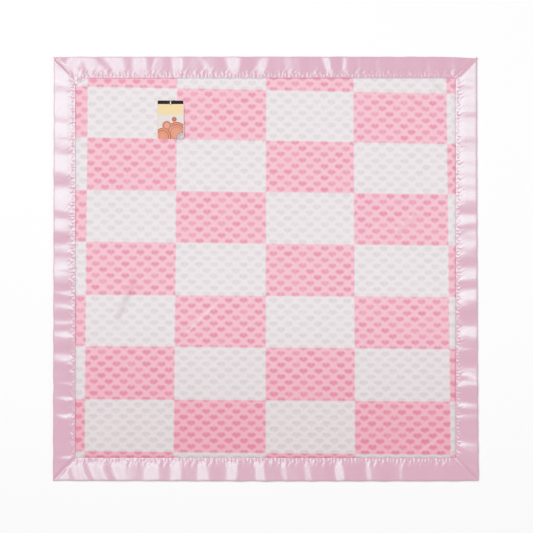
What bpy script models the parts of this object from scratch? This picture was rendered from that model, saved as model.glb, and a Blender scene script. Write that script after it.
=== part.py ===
"""A plush comfort blanket with a satin binding and a hang tag, lying flat.

Two square plush panels lie one on the other. A satin ribbon is folded over their edges on all
four sides, with its own edges turned under and its corners mitred. A card tag hangs on a clear
nylon pin that is shot through the front panel near one corner.

Metres, +Z up. The blanket lies on Z = 0 with the centre of its outline over the origin. Its
printed front faces up, and +Y is the edge nearest the tag.
"""

import math
from collections import namedtuple

import bmesh
import bpy
from mathutils import Vector

# Driving sizes of the blanket
BLANKET_WIDTH = 0.762
BLANKET_LENGTH = 0.762
FIT_GAP = 0.0003

# Plush panels, at rest in the middle and pressed flat under the stitches
BACK_PLUSH_THICKNESS = 0.0032
FRONT_PLUSH_THICKNESS = 0.0033
PRESSED_THICKNESS = 0.0010
SEAM_ALLOWANCE = 0.014
PLUSH_SHOULDER = 0.012
SHOULDER_STEPS = 5

# Satin binding: how much of it shows on each side, and the ribbon itself
TOP_BINDING_WIDTH = 0.038
RIGHT_BINDING_WIDTH = 0.0395
BOTTOM_BINDING_WIDTH = 0.042
LEFT_BINDING_WIDTH = 0.0395
SATIN_THICKNESS = 0.0004
HEM_WIDTH = 0.009
HEM_STEP = 0.0015
UNDERSIDE_RISE_WIDTH = 0.006
OUTER_FOLD_HEIGHT = 0.0046
OUTER_FOLD_RADIUS = 0.0016
MITRE_GAP = 0.0005

# Ripples of the binding's upper face
RIPPLE_HEIGHT = 0.0020
RIPPLE_END_FADE = 0.030
MITRE_SHEAR_REACH = 0.110
CREST_SHARE = 0.60
OUTER_RIPPLE_SHARE = 0.22

# How much of a ripple's height is left at these places across the binding
HEM_RIPPLE_SHARE = 0.45
CREST_RIPPLE_SHARE = 1.0
OUTER_RIPPLE_HEIGHT_SHARE = 0.85
FOLD_RIPPLE_SHARE = 0.25

# Troughs and crests along each side: share of the side's length, share of the ripple height.
# The upper and lower sides run from left to right, the left and right sides from top to bottom.
TOP_RIPPLE_SHARES = (
    (0.032, 0.0), (0.084, 0.8), (0.126, 0.0), (0.162, 0.9), (0.188, 0.1), (0.221, 1.0),
    (0.274, 0.0), (0.303, 1.0), (0.341, 0.0), (0.376, 0.4), (0.409, 0.0), (0.435, 1.0),
    (0.470, 0.0), (0.498, 0.7), (0.534, 0.0), (0.558, 0.3), (0.600, 0.0), (0.652, 0.7),
    (0.671, 0.1), (0.690, 0.5), (0.725, 0.0), (0.775, 0.3), (0.850, 0.0), (0.950, 0.3),
)
RIGHT_RIPPLE_SHARES = (
    (0.023, 0.0), (0.052, 0.6), (0.075, 0.1), (0.130, 0.7), (0.153, 0.0), (0.191, 0.6),
    (0.210, 0.0), (0.346, 0.7), (0.372, 0.0), (0.396, 0.5), (0.422, 0.0), (0.457, 0.8),
    (0.499, 0.0), (0.521, 0.7), (0.550, 0.1), (0.579, 0.8), (0.634, 0.0), (0.661, 0.9),
    (0.736, 0.0), (0.766, 1.0), (0.810, 0.0), (0.821, 0.5), (0.905, 0.0), (0.921, 0.6),
)
BOTTOM_RIPPLE_SHARES = (
    (0.052, 0.0), (0.076, 0.6), (0.092, 0.1), (0.127, 0.8), (0.146, 0.0), (0.173, 0.9),
    (0.213, 0.0), (0.252, 0.9), (0.278, 0.0), (0.300, 0.9), (0.338, 0.0), (0.362, 0.7),
    (0.407, 0.0), (0.430, 1.0), (0.475, 0.0), (0.494, 0.9), (0.560, 0.1), (0.602, 0.6),
    (0.660, 0.0), (0.681, 0.9), (0.730, 0.0), (0.742, 0.5), (0.820, 0.0), (0.950, 0.2),
)
LEFT_RIPPLE_SHARES = (
    (0.016, 0.0), (0.055, 0.5), (0.066, 0.1), (0.084, 0.6), (0.100, 0.0), (0.206, 0.8),
    (0.217, 0.1), (0.275, 0.9), (0.308, 0.0), (0.362, 0.8), (0.382, 0.0), (0.409, 0.9),
    (0.443, 0.0), (0.463, 0.8), (0.478, 0.1), (0.520, 0.7), (0.560, 0.0), (0.645, 0.0),
    (0.660, 0.9), (0.699, 0.0), (0.718, 0.8), (0.800, 0.0), (0.820, 0.6), (0.930, 0.1),
)

# Zigzag seam through the binding and both panels, with a thread on each face
THREAD_RADIUS = 0.00025
STITCH_CYCLE = 0.0126
STITCH_WIDTH = 0.0065
STITCH_FROM_EDGE = 0.0013
STITCH_FROM_CORNER = 0.003

# Hang tag, from the blanket's left and top edges
TAG_FROM_LEFT = 0.2106
TAG_FROM_TOP = 0.0785
TAG_WIDTH = 0.048
TAG_LENGTH = 0.0695
TAG_THICKNESS = 0.0005
TAG_CORNER_RADIUS = 0.0025
TAG_HOLE_INSET = 0.0066
TAG_HOLE_RADIUS = 0.0016

# Nylon pin that holds the tag
PIN_FILAMENT_RADIUS = 0.00035
PIN_BAR_LENGTH = 0.0095
PIN_BAR_RADIUS = 0.00045
PIN_PADDLE_LENGTH = 0.0075
PIN_PADDLE_WIDTH = 0.0023
PIN_PADDLE_THICKNESS = 0.0008
PIN_PADDLE_OVERHANG = 0.0012
PIN_PADDLE_BEVEL = 0.0003
PIN_HOLE_CLEARANCE = 0.0004
PIN_BAR_END_CLEARANCE = 0.0008
CUT_OVERRUN = 0.001

# Facets of the round pieces
ARC_STEPS = 5
HOLE_SIDES = 24
PIN_SIDES = 12

# Levels of the stacked layers, from the floor up
BACK_TOP = BACK_PLUSH_THICKNESS
BACK_PRESSED_BOTTOM = BACK_TOP - PRESSED_THICKNESS
FRONT_BOTTOM = BACK_TOP + FIT_GAP
FRONT_PRESSED_TOP = FRONT_BOTTOM + PRESSED_THICKNESS
FRONT_TOP = FRONT_BOTTOM + FRONT_PLUSH_THICKNESS
HEM_THICKNESS = 2 * SATIN_THICKNESS
UPPER_HEM_TOP = FRONT_PRESSED_TOP + FIT_GAP + HEM_THICKNESS
LOWER_HEM_BOTTOM = BACK_PRESSED_BOTTOM - FIT_GAP - HEM_THICKNESS
TAG_BOTTOM = FRONT_TOP + FIT_GAP
TAG_TOP = TAG_BOTTOM + TAG_THICKNESS

# Edges of the blanket, and the rectangle that the binding's inner edges enclose
HALF_WIDTH = BLANKET_WIDTH / 2
HALF_LENGTH = BLANKET_LENGTH / 2
INNER_LEFT = -HALF_WIDTH + LEFT_BINDING_WIDTH
INNER_RIGHT = HALF_WIDTH - RIGHT_BINDING_WIDTH
INNER_BOTTOM = -HALF_LENGTH + BOTTOM_BINDING_WIDTH
INNER_TOP = HALF_LENGTH - TOP_BINDING_WIDTH

# One side of the binding: the outer corner where it starts, its directions along the edge and
# inwards, and the binding's widths on the side before, on this side and on the side after
Side = namedtuple("Side", "name corner along inwards length before width after knots")

# Joint axes of the tag
TAG_CENTRE_X = -HALF_WIDTH + TAG_FROM_LEFT
TAG_TOP_EDGE_Y = HALF_LENGTH - TAG_FROM_TOP
PIN_Y = TAG_TOP_EDGE_Y - TAG_HOLE_INSET


def clear_scene():
    """Remove whatever the file opened with."""
    for item in list(bpy.data.objects):
        bpy.data.objects.remove(item, do_unlink=True)


def new_collection(name):
    """Make a collection in the scene."""
    collection = bpy.data.collections.new(name)
    bpy.context.scene.collection.children.link(collection)
    return collection


def linear(channel):
    """Turn one sRGB channel, 0 to 1, into the linear value that a shader takes."""
    if channel <= 0.04045:
        return channel / 12.92
    return ((channel + 0.055) / 1.055) ** 2.4


def make_material(name, colour, roughness, alpha=1.0):
    """A plain dielectric material from an sRGB colour."""
    material = bpy.data.materials.new(name)
    material.use_nodes = True
    shader = material.node_tree.nodes["Principled BSDF"]
    shader.inputs["Base Color"].default_value = (*(linear(channel) for channel in colour), 1.0)
    shader.inputs["Roughness"].default_value = roughness
    shader.inputs["Metallic"].default_value = 0.0
    shader.inputs["Alpha"].default_value = alpha
    return material


def add_object(name, data, collection, material=None):
    """Put mesh or curve data in a collection under the node's name."""
    item = bpy.data.objects.new(name, data)
    collection.objects.link(item)
    if material:
        data.materials.append(material)
    return item


def add_empty(name, place, collection, parent=None):
    """An empty that stands on a joint's axis."""
    empty = bpy.data.objects.new(name, None)
    empty.location = place
    empty.parent = parent
    collection.objects.link(empty)
    return empty


def loft(name, sections):
    """Mesh through closed sections that all have the same number of points, with flat ends."""
    shape = bmesh.new()
    rings = [[shape.verts.new(point) for point in section] for section in sections]
    for ring, following in zip(rings, rings[1:]):
        for index in range(len(ring)):
            after = (index + 1) % len(ring)
            shape.faces.new((ring[index], ring[after], following[after], following[index]))
    shape.faces.new(rings[0])
    shape.faces.new(rings[-1])
    bmesh.ops.recalc_face_normals(shape, faces=shape.faces)
    mesh = bpy.data.meshes.new(name)
    shape.to_mesh(mesh)
    shape.free()
    return mesh


def ring_around_panel(inset, height):
    """Corners of the binding's inner rectangle, drawn in by inset on every side."""
    left, right = INNER_LEFT + inset, INNER_RIGHT - inset
    bottom, top = INNER_BOTTOM + inset, INNER_TOP - inset
    return [
        Vector((left, bottom, height)),
        Vector((right, bottom, height)),
        Vector((right, top, height)),
        Vector((left, top, height)),
    ]


def build_panel(name, inner_level, pressed_level, pile_level, collection, material):
    """A plush panel: a pressed rim for the seam, then a shoulder up to the full pile."""
    sections = [
        ring_around_panel(-SEAM_ALLOWANCE, inner_level),
        ring_around_panel(-SEAM_ALLOWANCE, pressed_level),
    ]
    for step in range(SHOULDER_STEPS + 1):
        turn = math.pi / 2 * step / SHOULDER_STEPS
        inset = FIT_GAP + PLUSH_SHOULDER * (1 - math.cos(turn))
        level = pressed_level + (pile_level - pressed_level) * math.sin(turn)
        sections.append(ring_around_panel(inset, level))
    return add_object(name, loft(name, sections), collection, material)


def binding_section(width):
    """Closed section of the folded ribbon: distance from the outer fold, height, ripple share.

    It runs outwards along the upper face, round the fold, inwards along the underside, and back
    along the ribbon's inner face. Both inner edges have a second ply, the turned hem.
    """
    hem_end = width - HEM_WIDTH
    single_ply = hem_end - HEM_STEP
    crest = hem_end * CREST_SHARE
    shoulder = hem_end * OUTER_RIPPLE_SHARE
    rise_start = hem_end - UNDERSIDE_RISE_WIDTH
    step_level = LOWER_HEM_BOTTOM * (1 - HEM_STEP / UNDERSIDE_RISE_WIDTH)
    step_share = HEM_RIPPLE_SHARE + (CREST_RIPPLE_SHARE - HEM_RIPPLE_SHARE) * HEM_STEP / (
        hem_end - crest
    )
    upper_inside = UPPER_HEM_TOP - SATIN_THICKNESS
    return [
        (width, UPPER_HEM_TOP, 0.0),
        (hem_end, UPPER_HEM_TOP, HEM_RIPPLE_SHARE),
        (crest, UPPER_HEM_TOP, CREST_RIPPLE_SHARE),
        (shoulder, UPPER_HEM_TOP, OUTER_RIPPLE_HEIGHT_SHARE),
        (OUTER_FOLD_RADIUS, OUTER_FOLD_HEIGHT, FOLD_RIPPLE_SHARE),
        (0.0, OUTER_FOLD_HEIGHT / 2, 0.0),
        (OUTER_FOLD_RADIUS, 0.0, 0.0),
        (rise_start, 0.0, 0.0),
        (hem_end, LOWER_HEM_BOTTOM, 0.0),
        (width, LOWER_HEM_BOTTOM, 0.0),
        (width, LOWER_HEM_BOTTOM + HEM_THICKNESS, 0.0),
        (hem_end, LOWER_HEM_BOTTOM + HEM_THICKNESS, 0.0),
        (single_ply, step_level + SATIN_THICKNESS, 0.0),
        (OUTER_FOLD_RADIUS, SATIN_THICKNESS, 0.0),
        (SATIN_THICKNESS, OUTER_FOLD_HEIGHT / 2, 0.0),
        (OUTER_FOLD_RADIUS, OUTER_FOLD_HEIGHT - SATIN_THICKNESS, FOLD_RIPPLE_SHARE),
        (shoulder, upper_inside, OUTER_RIPPLE_HEIGHT_SHARE),
        (crest, upper_inside, CREST_RIPPLE_SHARE),
        (single_ply, upper_inside, step_share),
        (hem_end, UPPER_HEM_TOP - HEM_THICKNESS, HEM_RIPPLE_SHARE),
        (width, UPPER_HEM_TOP - HEM_THICKNESS, 0.0),
    ]


def smooth_step(share):
    """Ease from 0 to 1 with level ends."""
    share = min(max(share, 0.0), 1.0)
    return share * share * (3 - 2 * share)


def ripple_at(place, knots):
    """Share of the ripple height at a share of the side's length."""
    if place <= knots[0][0]:
        return knots[0][1]
    for (start, low), (end, high) in zip(knots, knots[1:]):
        if place <= end:
            return low + (high - low) * smooth_step((place - start) / (end - start))
    return knots[-1][1]


def binding_stations(knots):
    """Shares of the side's length where the section is drawn: each knot and the middle between."""
    places = [0.0, *(knot[0] for knot in knots), 1.0]
    stations = []
    for start, end in zip(places, places[1:]):
        stations += [start, (start + end) / 2]
    return [*stations, 1.0]


def mitre_cuts(side, inset):
    """How far the two mitres reach along the side at a distance from the outer fold."""
    return (
        inset * side.before / side.width + MITRE_GAP,
        inset * side.after / side.width + MITRE_GAP,
    )


def place_on_side(side, distance, inset):
    """Distance along the side of a point of the station that meets the outer fold at distance.

    Stations are square to the side in the middle and lean over to the mitre near each end.
    """
    start_cut, end_cut = mitre_cuts(side, inset)
    start_pull = max(0.0, 1 - distance / MITRE_SHEAR_REACH)
    end_pull = max(0.0, 1 - (side.length - distance) / MITRE_SHEAR_REACH)
    return distance + start_pull * start_cut - end_pull * end_cut


def station_of(side, place, inset):
    """Where the station through a point of the binding meets the outer fold."""
    start_cut, end_cut = mitre_cuts(side, inset)
    if place < MITRE_SHEAR_REACH:
        return (place - start_cut) / (1 - start_cut / MITRE_SHEAR_REACH)
    if side.length - place < MITRE_SHEAR_REACH:
        from_end = side.length - place - end_cut
        return side.length - from_end / (1 - end_cut / MITRE_SHEAR_REACH)
    return place


def ripple_rise(side, distance):
    """Height of the ripple at a station, which dies away towards both mitres."""
    fade = smooth_step(distance / RIPPLE_END_FADE)
    fade *= smooth_step((side.length - distance) / RIPPLE_END_FADE)
    return RIPPLE_HEIGHT * ripple_at(distance / side.length, side.knots) * fade


def point_on_side(side, place, inset, level):
    """World point of a side, from its distances along and across and its height."""
    point = side.corner + side.along * place + side.inwards * inset
    point.z = level
    return point


def build_binding(side, collection, material):
    """One side of the folded ribbon, cut to the mitre at both ends."""
    section = binding_section(side.width)
    sections = []
    for share in binding_stations(side.knots):
        distance = side.length * share
        rise = ripple_rise(side, distance)
        sections.append([
            point_on_side(side, place_on_side(side, distance, inset), inset, level + rise * part)
            for inset, level, part in section
        ])
    name = f"binding_{side.name}"
    return add_object(name, loft(name, sections), collection, material)


def zigzag_points(side):
    """Needle places of the seam: distance along the side and distance from the outer fold."""
    near_edge = side.width - STITCH_FROM_EDGE
    start = side.before + STITCH_FROM_CORNER
    span = side.length - side.after - STITCH_FROM_CORNER - start
    count = 2 * round(span / STITCH_CYCLE)
    return [
        (start + span * index / count, near_edge - STITCH_WIDTH * (index % 2))
        for index in range(count + 1)
    ]


def build_thread(name, points, collection, material):
    """A sewing thread along straight stitches."""
    curve = bpy.data.curves.new(name, "CURVE")
    curve.dimensions = "3D"
    curve.bevel_depth = THREAD_RADIUS
    curve.bevel_resolution = 0
    curve.use_fill_caps = True
    spline = curve.splines.new("POLY")
    spline.points.add(len(points) - 1)
    for target, point in zip(spline.points, points):
        target.co = (*point, 1)
    return add_object(name, curve, collection, material)


def build_seam(side, collection, material):
    """The needle thread on the front of one seam and the bobbin thread on its back."""
    upper, lower = [], []
    for place, inset in zigzag_points(side):
        rise = ripple_rise(side, station_of(side, place, inset))
        hem_share = HEM_RIPPLE_SHARE * (side.width - inset) / HEM_WIDTH
        satin_top = UPPER_HEM_TOP + rise * hem_share
        upper.append(point_on_side(side, place, inset, satin_top + FIT_GAP + THREAD_RADIUS))
        below = LOWER_HEM_BOTTOM - FIT_GAP - THREAD_RADIUS
        lower.append(point_on_side(side, place, inset, below))
    build_thread(f"needle_thread_{side.name}", upper, collection, material)
    build_thread(f"bobbin_thread_{side.name}", lower, collection, material)


def binding_sides():
    """The four sides of the blanket."""
    top, right = TOP_BINDING_WIDTH, RIGHT_BINDING_WIDTH
    bottom, left = BOTTOM_BINDING_WIDTH, LEFT_BINDING_WIDTH
    top_left = Vector((-HALF_WIDTH, HALF_LENGTH, 0))
    top_right = Vector((HALF_WIDTH, HALF_LENGTH, 0))
    bottom_left = Vector((-HALF_WIDTH, -HALF_LENGTH, 0))
    rightwards, leftwards = Vector((1, 0, 0)), Vector((-1, 0, 0))
    upwards, downwards = Vector((0, 1, 0)), Vector((0, -1, 0))
    return (
        Side("top", top_left, rightwards, downwards, BLANKET_WIDTH,
             left, top, right, TOP_RIPPLE_SHARES),
        Side("right", top_right, downwards, leftwards, BLANKET_LENGTH,
             top, right, bottom, RIGHT_RIPPLE_SHARES),
        Side("bottom", bottom_left, rightwards, upwards, BLANKET_WIDTH,
             left, bottom, right, BOTTOM_RIPPLE_SHARES),
        Side("left", top_left, downwards, rightwards, BLANKET_LENGTH,
             top, left, bottom, LEFT_RIPPLE_SHARES),
    )


def add_poly_outline(curve, points):
    """Add a closed outline to a flat curve."""
    spline = curve.splines.new("POLY")
    spline.points.add(len(points) - 1)
    for target, (x, y) in zip(spline.points, points):
        target.co = (x, y, 0, 1)
    spline.use_cyclic_u = True


def rounded_rectangle(left, bottom, right, top, radius):
    """Outline with round corners, counter-clockwise from the lower right corner."""
    centres = (
        (right - radius, bottom + radius), (right - radius, top - radius),
        (left + radius, top - radius), (left + radius, bottom + radius),
    )
    points = []
    for quarter, (x, y) in enumerate(centres):
        for step in range(ARC_STEPS + 1):
            angle = math.pi / 2 * (quarter - 1 + step / ARC_STEPS)
            points.append((x + radius * math.cos(angle), y + radius * math.sin(angle)))
    return points


def circle_outline(x, y, radius, sides):
    """Round outline with the given number of sides."""
    angles = (2 * math.pi * index / sides for index in range(sides))
    return [(x + radius * math.cos(angle), y + radius * math.sin(angle)) for angle in angles]


def build_tag(collection, material, lift_axis):
    """The card, hung from its top edge, with a round hole for the pin."""
    curve = bpy.data.curves.new("hang_tag", "CURVE")
    curve.dimensions = "2D"
    curve.fill_mode = "BOTH"
    curve.extrude = TAG_THICKNESS / 2
    half = TAG_WIDTH / 2
    add_poly_outline(curve, rounded_rectangle(-half, -TAG_LENGTH, half, 0, TAG_CORNER_RADIUS))
    add_poly_outline(curve, circle_outline(0, -TAG_HOLE_INSET, TAG_HOLE_RADIUS, HOLE_SIDES))
    tag = add_object("hang_tag", curve, collection, material)
    tag.parent = lift_axis
    tag.location = (0, 0, -TAG_THICKNESS / 2)
    return tag


def upright_cylinder(name, radius, bottom, top, sides, collection, material=None):
    """A cylinder along Z between two levels."""
    shape = bmesh.new()
    bmesh.ops.create_cone(
        shape, cap_ends=True, segments=sides, radius1=radius, radius2=radius, depth=top - bottom
    )
    bmesh.ops.translate(shape, verts=shape.verts, vec=(0, 0, (bottom + top) / 2))
    mesh = bpy.data.meshes.new(name)
    shape.to_mesh(mesh)
    shape.free()
    mesh.shade_smooth()
    mesh.set_sharp_from_angle(angle=math.radians(40))
    return add_object(name, mesh, collection, material)


def add_boolean(target, tool, operation):
    """Join or cut with another object."""
    modifier = target.modifiers.new(f"{operation.lower()}_{tool.name}", "BOOLEAN")
    modifier.operation = operation
    modifier.solver = "EXACT"
    modifier.object = tool
    tool.hide_render = True
    tool.display_type = "WIRE"


def build_pin(collection, tools, material, swivel_axis):
    """The nylon pin: a bar behind the front panel, a filament through it and a paddle on the tag."""
    bar_level = FRONT_BOTTOM + PIN_BAR_RADIUS - TAG_TOP
    paddle_bottom = FIT_GAP
    paddle_top = paddle_bottom + PIN_PADDLE_THICKNESS
    pin = upright_cylinder(
        "tag_pin", PIN_FILAMENT_RADIUS, bar_level, (paddle_bottom + paddle_top) / 2,
        PIN_SIDES, collection, material,
    )

    bar = upright_cylinder(
        "pin_bar", PIN_BAR_RADIUS, -PIN_BAR_LENGTH / 2, PIN_BAR_LENGTH / 2, PIN_SIDES, tools
    )
    bar.location = (0, 0, bar_level)
    bar.rotation_euler = (0, math.pi / 2, 0)

    outline = bpy.data.meshes.new("pin_paddle")
    shape = bmesh.new()
    bmesh.ops.create_cube(shape, size=1.0)
    bmesh.ops.scale(
        shape, verts=shape.verts, vec=(PIN_PADDLE_WIDTH, PIN_PADDLE_LENGTH, PIN_PADDLE_THICKNESS)
    )
    shape.to_mesh(outline)
    shape.free()
    paddle = add_object("pin_paddle", outline, tools)
    paddle.location = (
        0, PIN_PADDLE_LENGTH / 2 - PIN_PADDLE_OVERHANG, (paddle_bottom + paddle_top) / 2
    )
    bevel = paddle.modifiers.new("soft_edges", "BEVEL")
    bevel.width = PIN_PADDLE_BEVEL
    bevel.segments = 2

    for tool in (bar, paddle):
        tool.parent = swivel_axis
        add_boolean(pin, tool, "UNION")
    pin.parent = swivel_axis
    return pin


def cut_pin_way(panel, tools, swivel_axis):
    """Cut the front panel for the pin: a hole for the filament and a pocket for its bar."""
    bottom = FRONT_BOTTOM - TAG_TOP
    top = FRONT_TOP - TAG_TOP
    pocket_top = bottom + 2 * PIN_BAR_RADIUS + FIT_GAP
    hole = upright_cylinder(
        "pin_hole_cutter", PIN_FILAMENT_RADIUS + PIN_HOLE_CLEARANCE,
        bottom - CUT_OVERRUN, top + CUT_OVERRUN, HOLE_SIDES, tools,
    )
    pocket = upright_cylinder(
        "pin_pocket_cutter", PIN_BAR_LENGTH / 2 + PIN_BAR_END_CLEARANCE,
        bottom - CUT_OVERRUN, pocket_top, HOLE_SIDES, tools,
    )
    for tool in (pocket, hole):
        tool.parent = swivel_axis
        add_boolean(panel, tool, "DIFFERENCE")


def main():
    """Build the blanket."""
    clear_scene()
    parts = new_collection("comfort_blanket")
    tools = new_collection("cutters")

    front_plush = make_material("front_plush", (0.94, 0.80, 0.84), 0.95)
    back_plush = make_material("back_plush", (0.96, 0.86, 0.89), 0.95)
    satin = make_material("satin", (0.88, 0.71, 0.78), 0.35)
    thread = make_material("thread", (0.93, 0.82, 0.87), 0.7)
    card = make_material("card", (0.95, 0.91, 0.82), 0.5)
    nylon = make_material("nylon", (0.93, 0.93, 0.91), 0.25, alpha=0.5)

    build_panel("back_panel", BACK_TOP, BACK_PRESSED_BOTTOM, 0.0, parts, back_plush)
    front = build_panel(
        "front_panel", FRONT_BOTTOM, FRONT_PRESSED_TOP, FRONT_TOP, parts, front_plush
    )
    for side in binding_sides():
        build_binding(side, parts, satin)
        build_seam(side, parts, thread)

    swivel_axis = add_empty("tag_swivel_axis", (TAG_CENTRE_X, PIN_Y, TAG_TOP), parts)
    lift_axis = add_empty("tag_lift_axis", (0, TAG_HOLE_INSET, 0), parts, swivel_axis)
    build_tag(parts, card, lift_axis)
    build_pin(parts, tools, nylon, swivel_axis)
    cut_pin_way(front, tools, swivel_axis)


main()
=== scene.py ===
"""Looks of the plush comfort blanket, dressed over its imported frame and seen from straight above."""

import math
from collections import namedtuple

import bpy
import numpy as np
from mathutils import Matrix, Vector


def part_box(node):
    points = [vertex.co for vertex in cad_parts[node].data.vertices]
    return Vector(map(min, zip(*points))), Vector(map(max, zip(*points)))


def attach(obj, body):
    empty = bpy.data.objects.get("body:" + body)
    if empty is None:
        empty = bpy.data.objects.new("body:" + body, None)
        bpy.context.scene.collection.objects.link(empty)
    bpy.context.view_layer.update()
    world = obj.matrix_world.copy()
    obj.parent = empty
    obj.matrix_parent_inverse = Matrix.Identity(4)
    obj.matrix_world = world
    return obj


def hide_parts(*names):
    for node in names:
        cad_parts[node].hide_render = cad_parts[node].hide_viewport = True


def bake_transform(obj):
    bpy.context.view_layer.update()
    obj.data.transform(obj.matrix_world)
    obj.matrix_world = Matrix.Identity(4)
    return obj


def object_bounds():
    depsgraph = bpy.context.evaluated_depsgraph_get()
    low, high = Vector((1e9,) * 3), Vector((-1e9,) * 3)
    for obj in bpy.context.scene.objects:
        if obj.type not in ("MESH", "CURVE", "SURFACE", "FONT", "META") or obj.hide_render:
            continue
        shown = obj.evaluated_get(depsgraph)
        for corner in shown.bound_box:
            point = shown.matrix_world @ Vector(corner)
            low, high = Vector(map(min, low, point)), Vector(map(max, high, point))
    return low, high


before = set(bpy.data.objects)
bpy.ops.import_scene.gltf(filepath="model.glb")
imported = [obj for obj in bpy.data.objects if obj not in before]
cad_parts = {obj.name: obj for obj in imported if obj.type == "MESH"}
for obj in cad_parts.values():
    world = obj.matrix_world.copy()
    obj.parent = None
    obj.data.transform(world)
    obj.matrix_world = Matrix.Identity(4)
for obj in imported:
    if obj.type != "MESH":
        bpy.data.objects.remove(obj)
CAD_LOW, CAD_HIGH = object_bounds()

# The outline in the photograph, in its pixels, gives the scale and the place of the print
PHOTO_SIZE = 533
OUTLINE_LEFT, OUTLINE_RIGHT = 53.5, 477.5
OUTLINE_TOP, OUTLINE_BOTTOM = 57.3, 480.5
PIXEL = (CAD_HIGH.x - CAD_LOW.x) / (OUTLINE_RIGHT - OUTLINE_LEFT)
CENTRE_PIXEL_X = (OUTLINE_LEFT + OUTLINE_RIGHT) / 2
CENTRE_PIXEL_Y = (OUTLINE_TOP + OUTLINE_BOTTOM) / 2

# Levels and edges read from the frame
FRONT_LOW, FRONT_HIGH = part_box("front_panel")
BACK_LOW, BACK_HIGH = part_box("back_panel")
TAG_LOW, TAG_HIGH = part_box("hang_tag")
PIN_LOW, PIN_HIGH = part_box("tag_pin")
INNER_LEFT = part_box("binding_left")[1].x
INNER_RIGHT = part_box("binding_right")[0].x
INNER_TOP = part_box("binding_top")[0].y
INNER_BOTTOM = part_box("binding_bottom")[1].y

# Plush panels
PRESSED_THICKNESS = 0.0010
FIT_GAP = 0.0003
PLUSH_SHOULDER = 0.012
PLUSH_TRENCH = 0.0045
FLAP_DEPTH = 0.0135
FLAP_LENGTH = 0.022
FLAP_POWER = 1.2
FRONT_CELL = 0.0023
BACK_CELL = 0.0030
HEART_RELIEF = 0.0004
PLUSH_ROLL, PLUSH_ROLL_LENGTH = 0.0003, 0.16
PILE_GRAIN, PILE_GRAIN_LENGTH = 0.00010, 0.007
BACK_ROLL, BACK_ROLL_LENGTH = 0.00012, 0.02
TUG_DEPTH = 0.0005
TUG_REACH = 0.005
TUG_WANDER, TUG_WANDER_LENGTH = 1.5, 0.09

# Satin binding
SATIN_THICKNESS = 0.0004
HEM_WIDTH = 0.009
HEM_STEP = 0.0015
INNER_FROM_FOLD = 0.0018
INNER_EDGE_RADIUS = 0.0005
SATIN_LOFT = 0.0003
LOFT_REACH = 0.006
OUTER_FOLD_HEIGHT = 0.0046
OUTER_FOLD_REACH = 0.0046
OUTER_FOLD_PULL = 0.70
OUTER_FOLD_POWER = 3.0
OUTER_FOLD_INSETS = (0.0005, 0.0001, 0.0, 0.0001, 0.0005)
OUTER_FOLD_LEVELS = (0.93, 0.74, 0.47, 0.20, 0.06)
OUTER_FOLD_TOP_INSET = 0.0008
UNDERSIDE_ROLL, UNDERSIDE_ROLL_LENGTH = 0.0002, 0.05
UNDERSIDE_FADE = 0.01
RIPPLE_LIFT = 0.0015
RIPPLE_LEAST = 0.0006
LIFT_SEAM_FADE = 0.020
ACROSS_STEEPNESS = (0.125, 0.26)
RISE_STEEPNESS = (0.08, 0.25)
FALL_STEEPNESS = 0.12
SLOPE_SOFT_SHARE = 0.8
SLOPE_SOFT_LEAST = {True: 0.0032, False: 0.00512}
SLOPE_MOTTLE, MOTTLE_LENGTH = 0.14, 0.009
SLOPE_DRIFT, DRIFT_LENGTH = {True: 0.010, False: 0.005}, 0.030
SKIRT_REACH = 0.014
SKIRT_SHARE = {True: 0.25, False: 0.5}
RIPPLE_REACH = 0.028
RIPPLE_SEAM_FADE = 0.0065
RIPPLE_MITRE_FADE = 0.007
WRINKLE, WRINKLE_LENGTH = {True: 0.00016, False: 0.00008}, 0.010
WRINKLE_PLACE, WRINKLE_REACH = 0.010, 0.006
WRINKLE_SLANT, WRINKLE_SLANT_LENGTH = 0.004, 0.02
SWELL, SWELL_LENGTH = 0.00010, 0.035
GROOVE_DEPTH, GROOVE_REACH = 0.00022, 0.0010
TUG_PLACE, TUG_HALF_WIDTH = 0.0045, 0.0038
PUCKER_LEAST, PUCKER_SPREAD, PUCKER_LENGTH = 0.6, 0.65, 0.03
PUCKER_WANDER, PUCKER_WANDER_LENGTH = 1.6, 0.022
CALMER_FROM = 0.45
CORNER_CRUSH, CORNER_CRUSH_PLACE = 0.00014, 0.010
CORNER_CRUSH_REACH, CORNER_CRUSH_LENGTH = (0.016, 0.014), 0.009
RELIEF_STEP = 0.001
RELIEF_COLUMNS = 33
MITRE_SLANT = 0.72
MITRE_SHEAR_REACH = 0.110
MITRE_LAP = {True: -0.0011, False: 0.0003}
MITRE_RIDGE, MITRE_RIDGE_PLACE, MITRE_RIDGE_REACH = 0.0005, 0.0004, 0.0009
MITRE_DIP, MITRE_DIP_REACH = 0.0004, 0.002
STRAY_WAVE, STRAY_WAVE_LENGTH = 0.0003, 0.045
SATIN_CELL = 0.0013

# Zigzag seam
THREAD_RADIUS = 0.00018
STITCH_CYCLE = 0.0126
STITCH_WIDTH = 0.0065
STITCH_FROM_EDGE = 0.0013
STITCH_FROM_CORNER = 0.003
STITCHES_IN_HALF_CYCLE = 3
STITCH_POINTS = 7
STITCH_GAP = 0.06
STITCH_ARCH, STITCH_SINK = 1.6, 0.7

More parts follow.
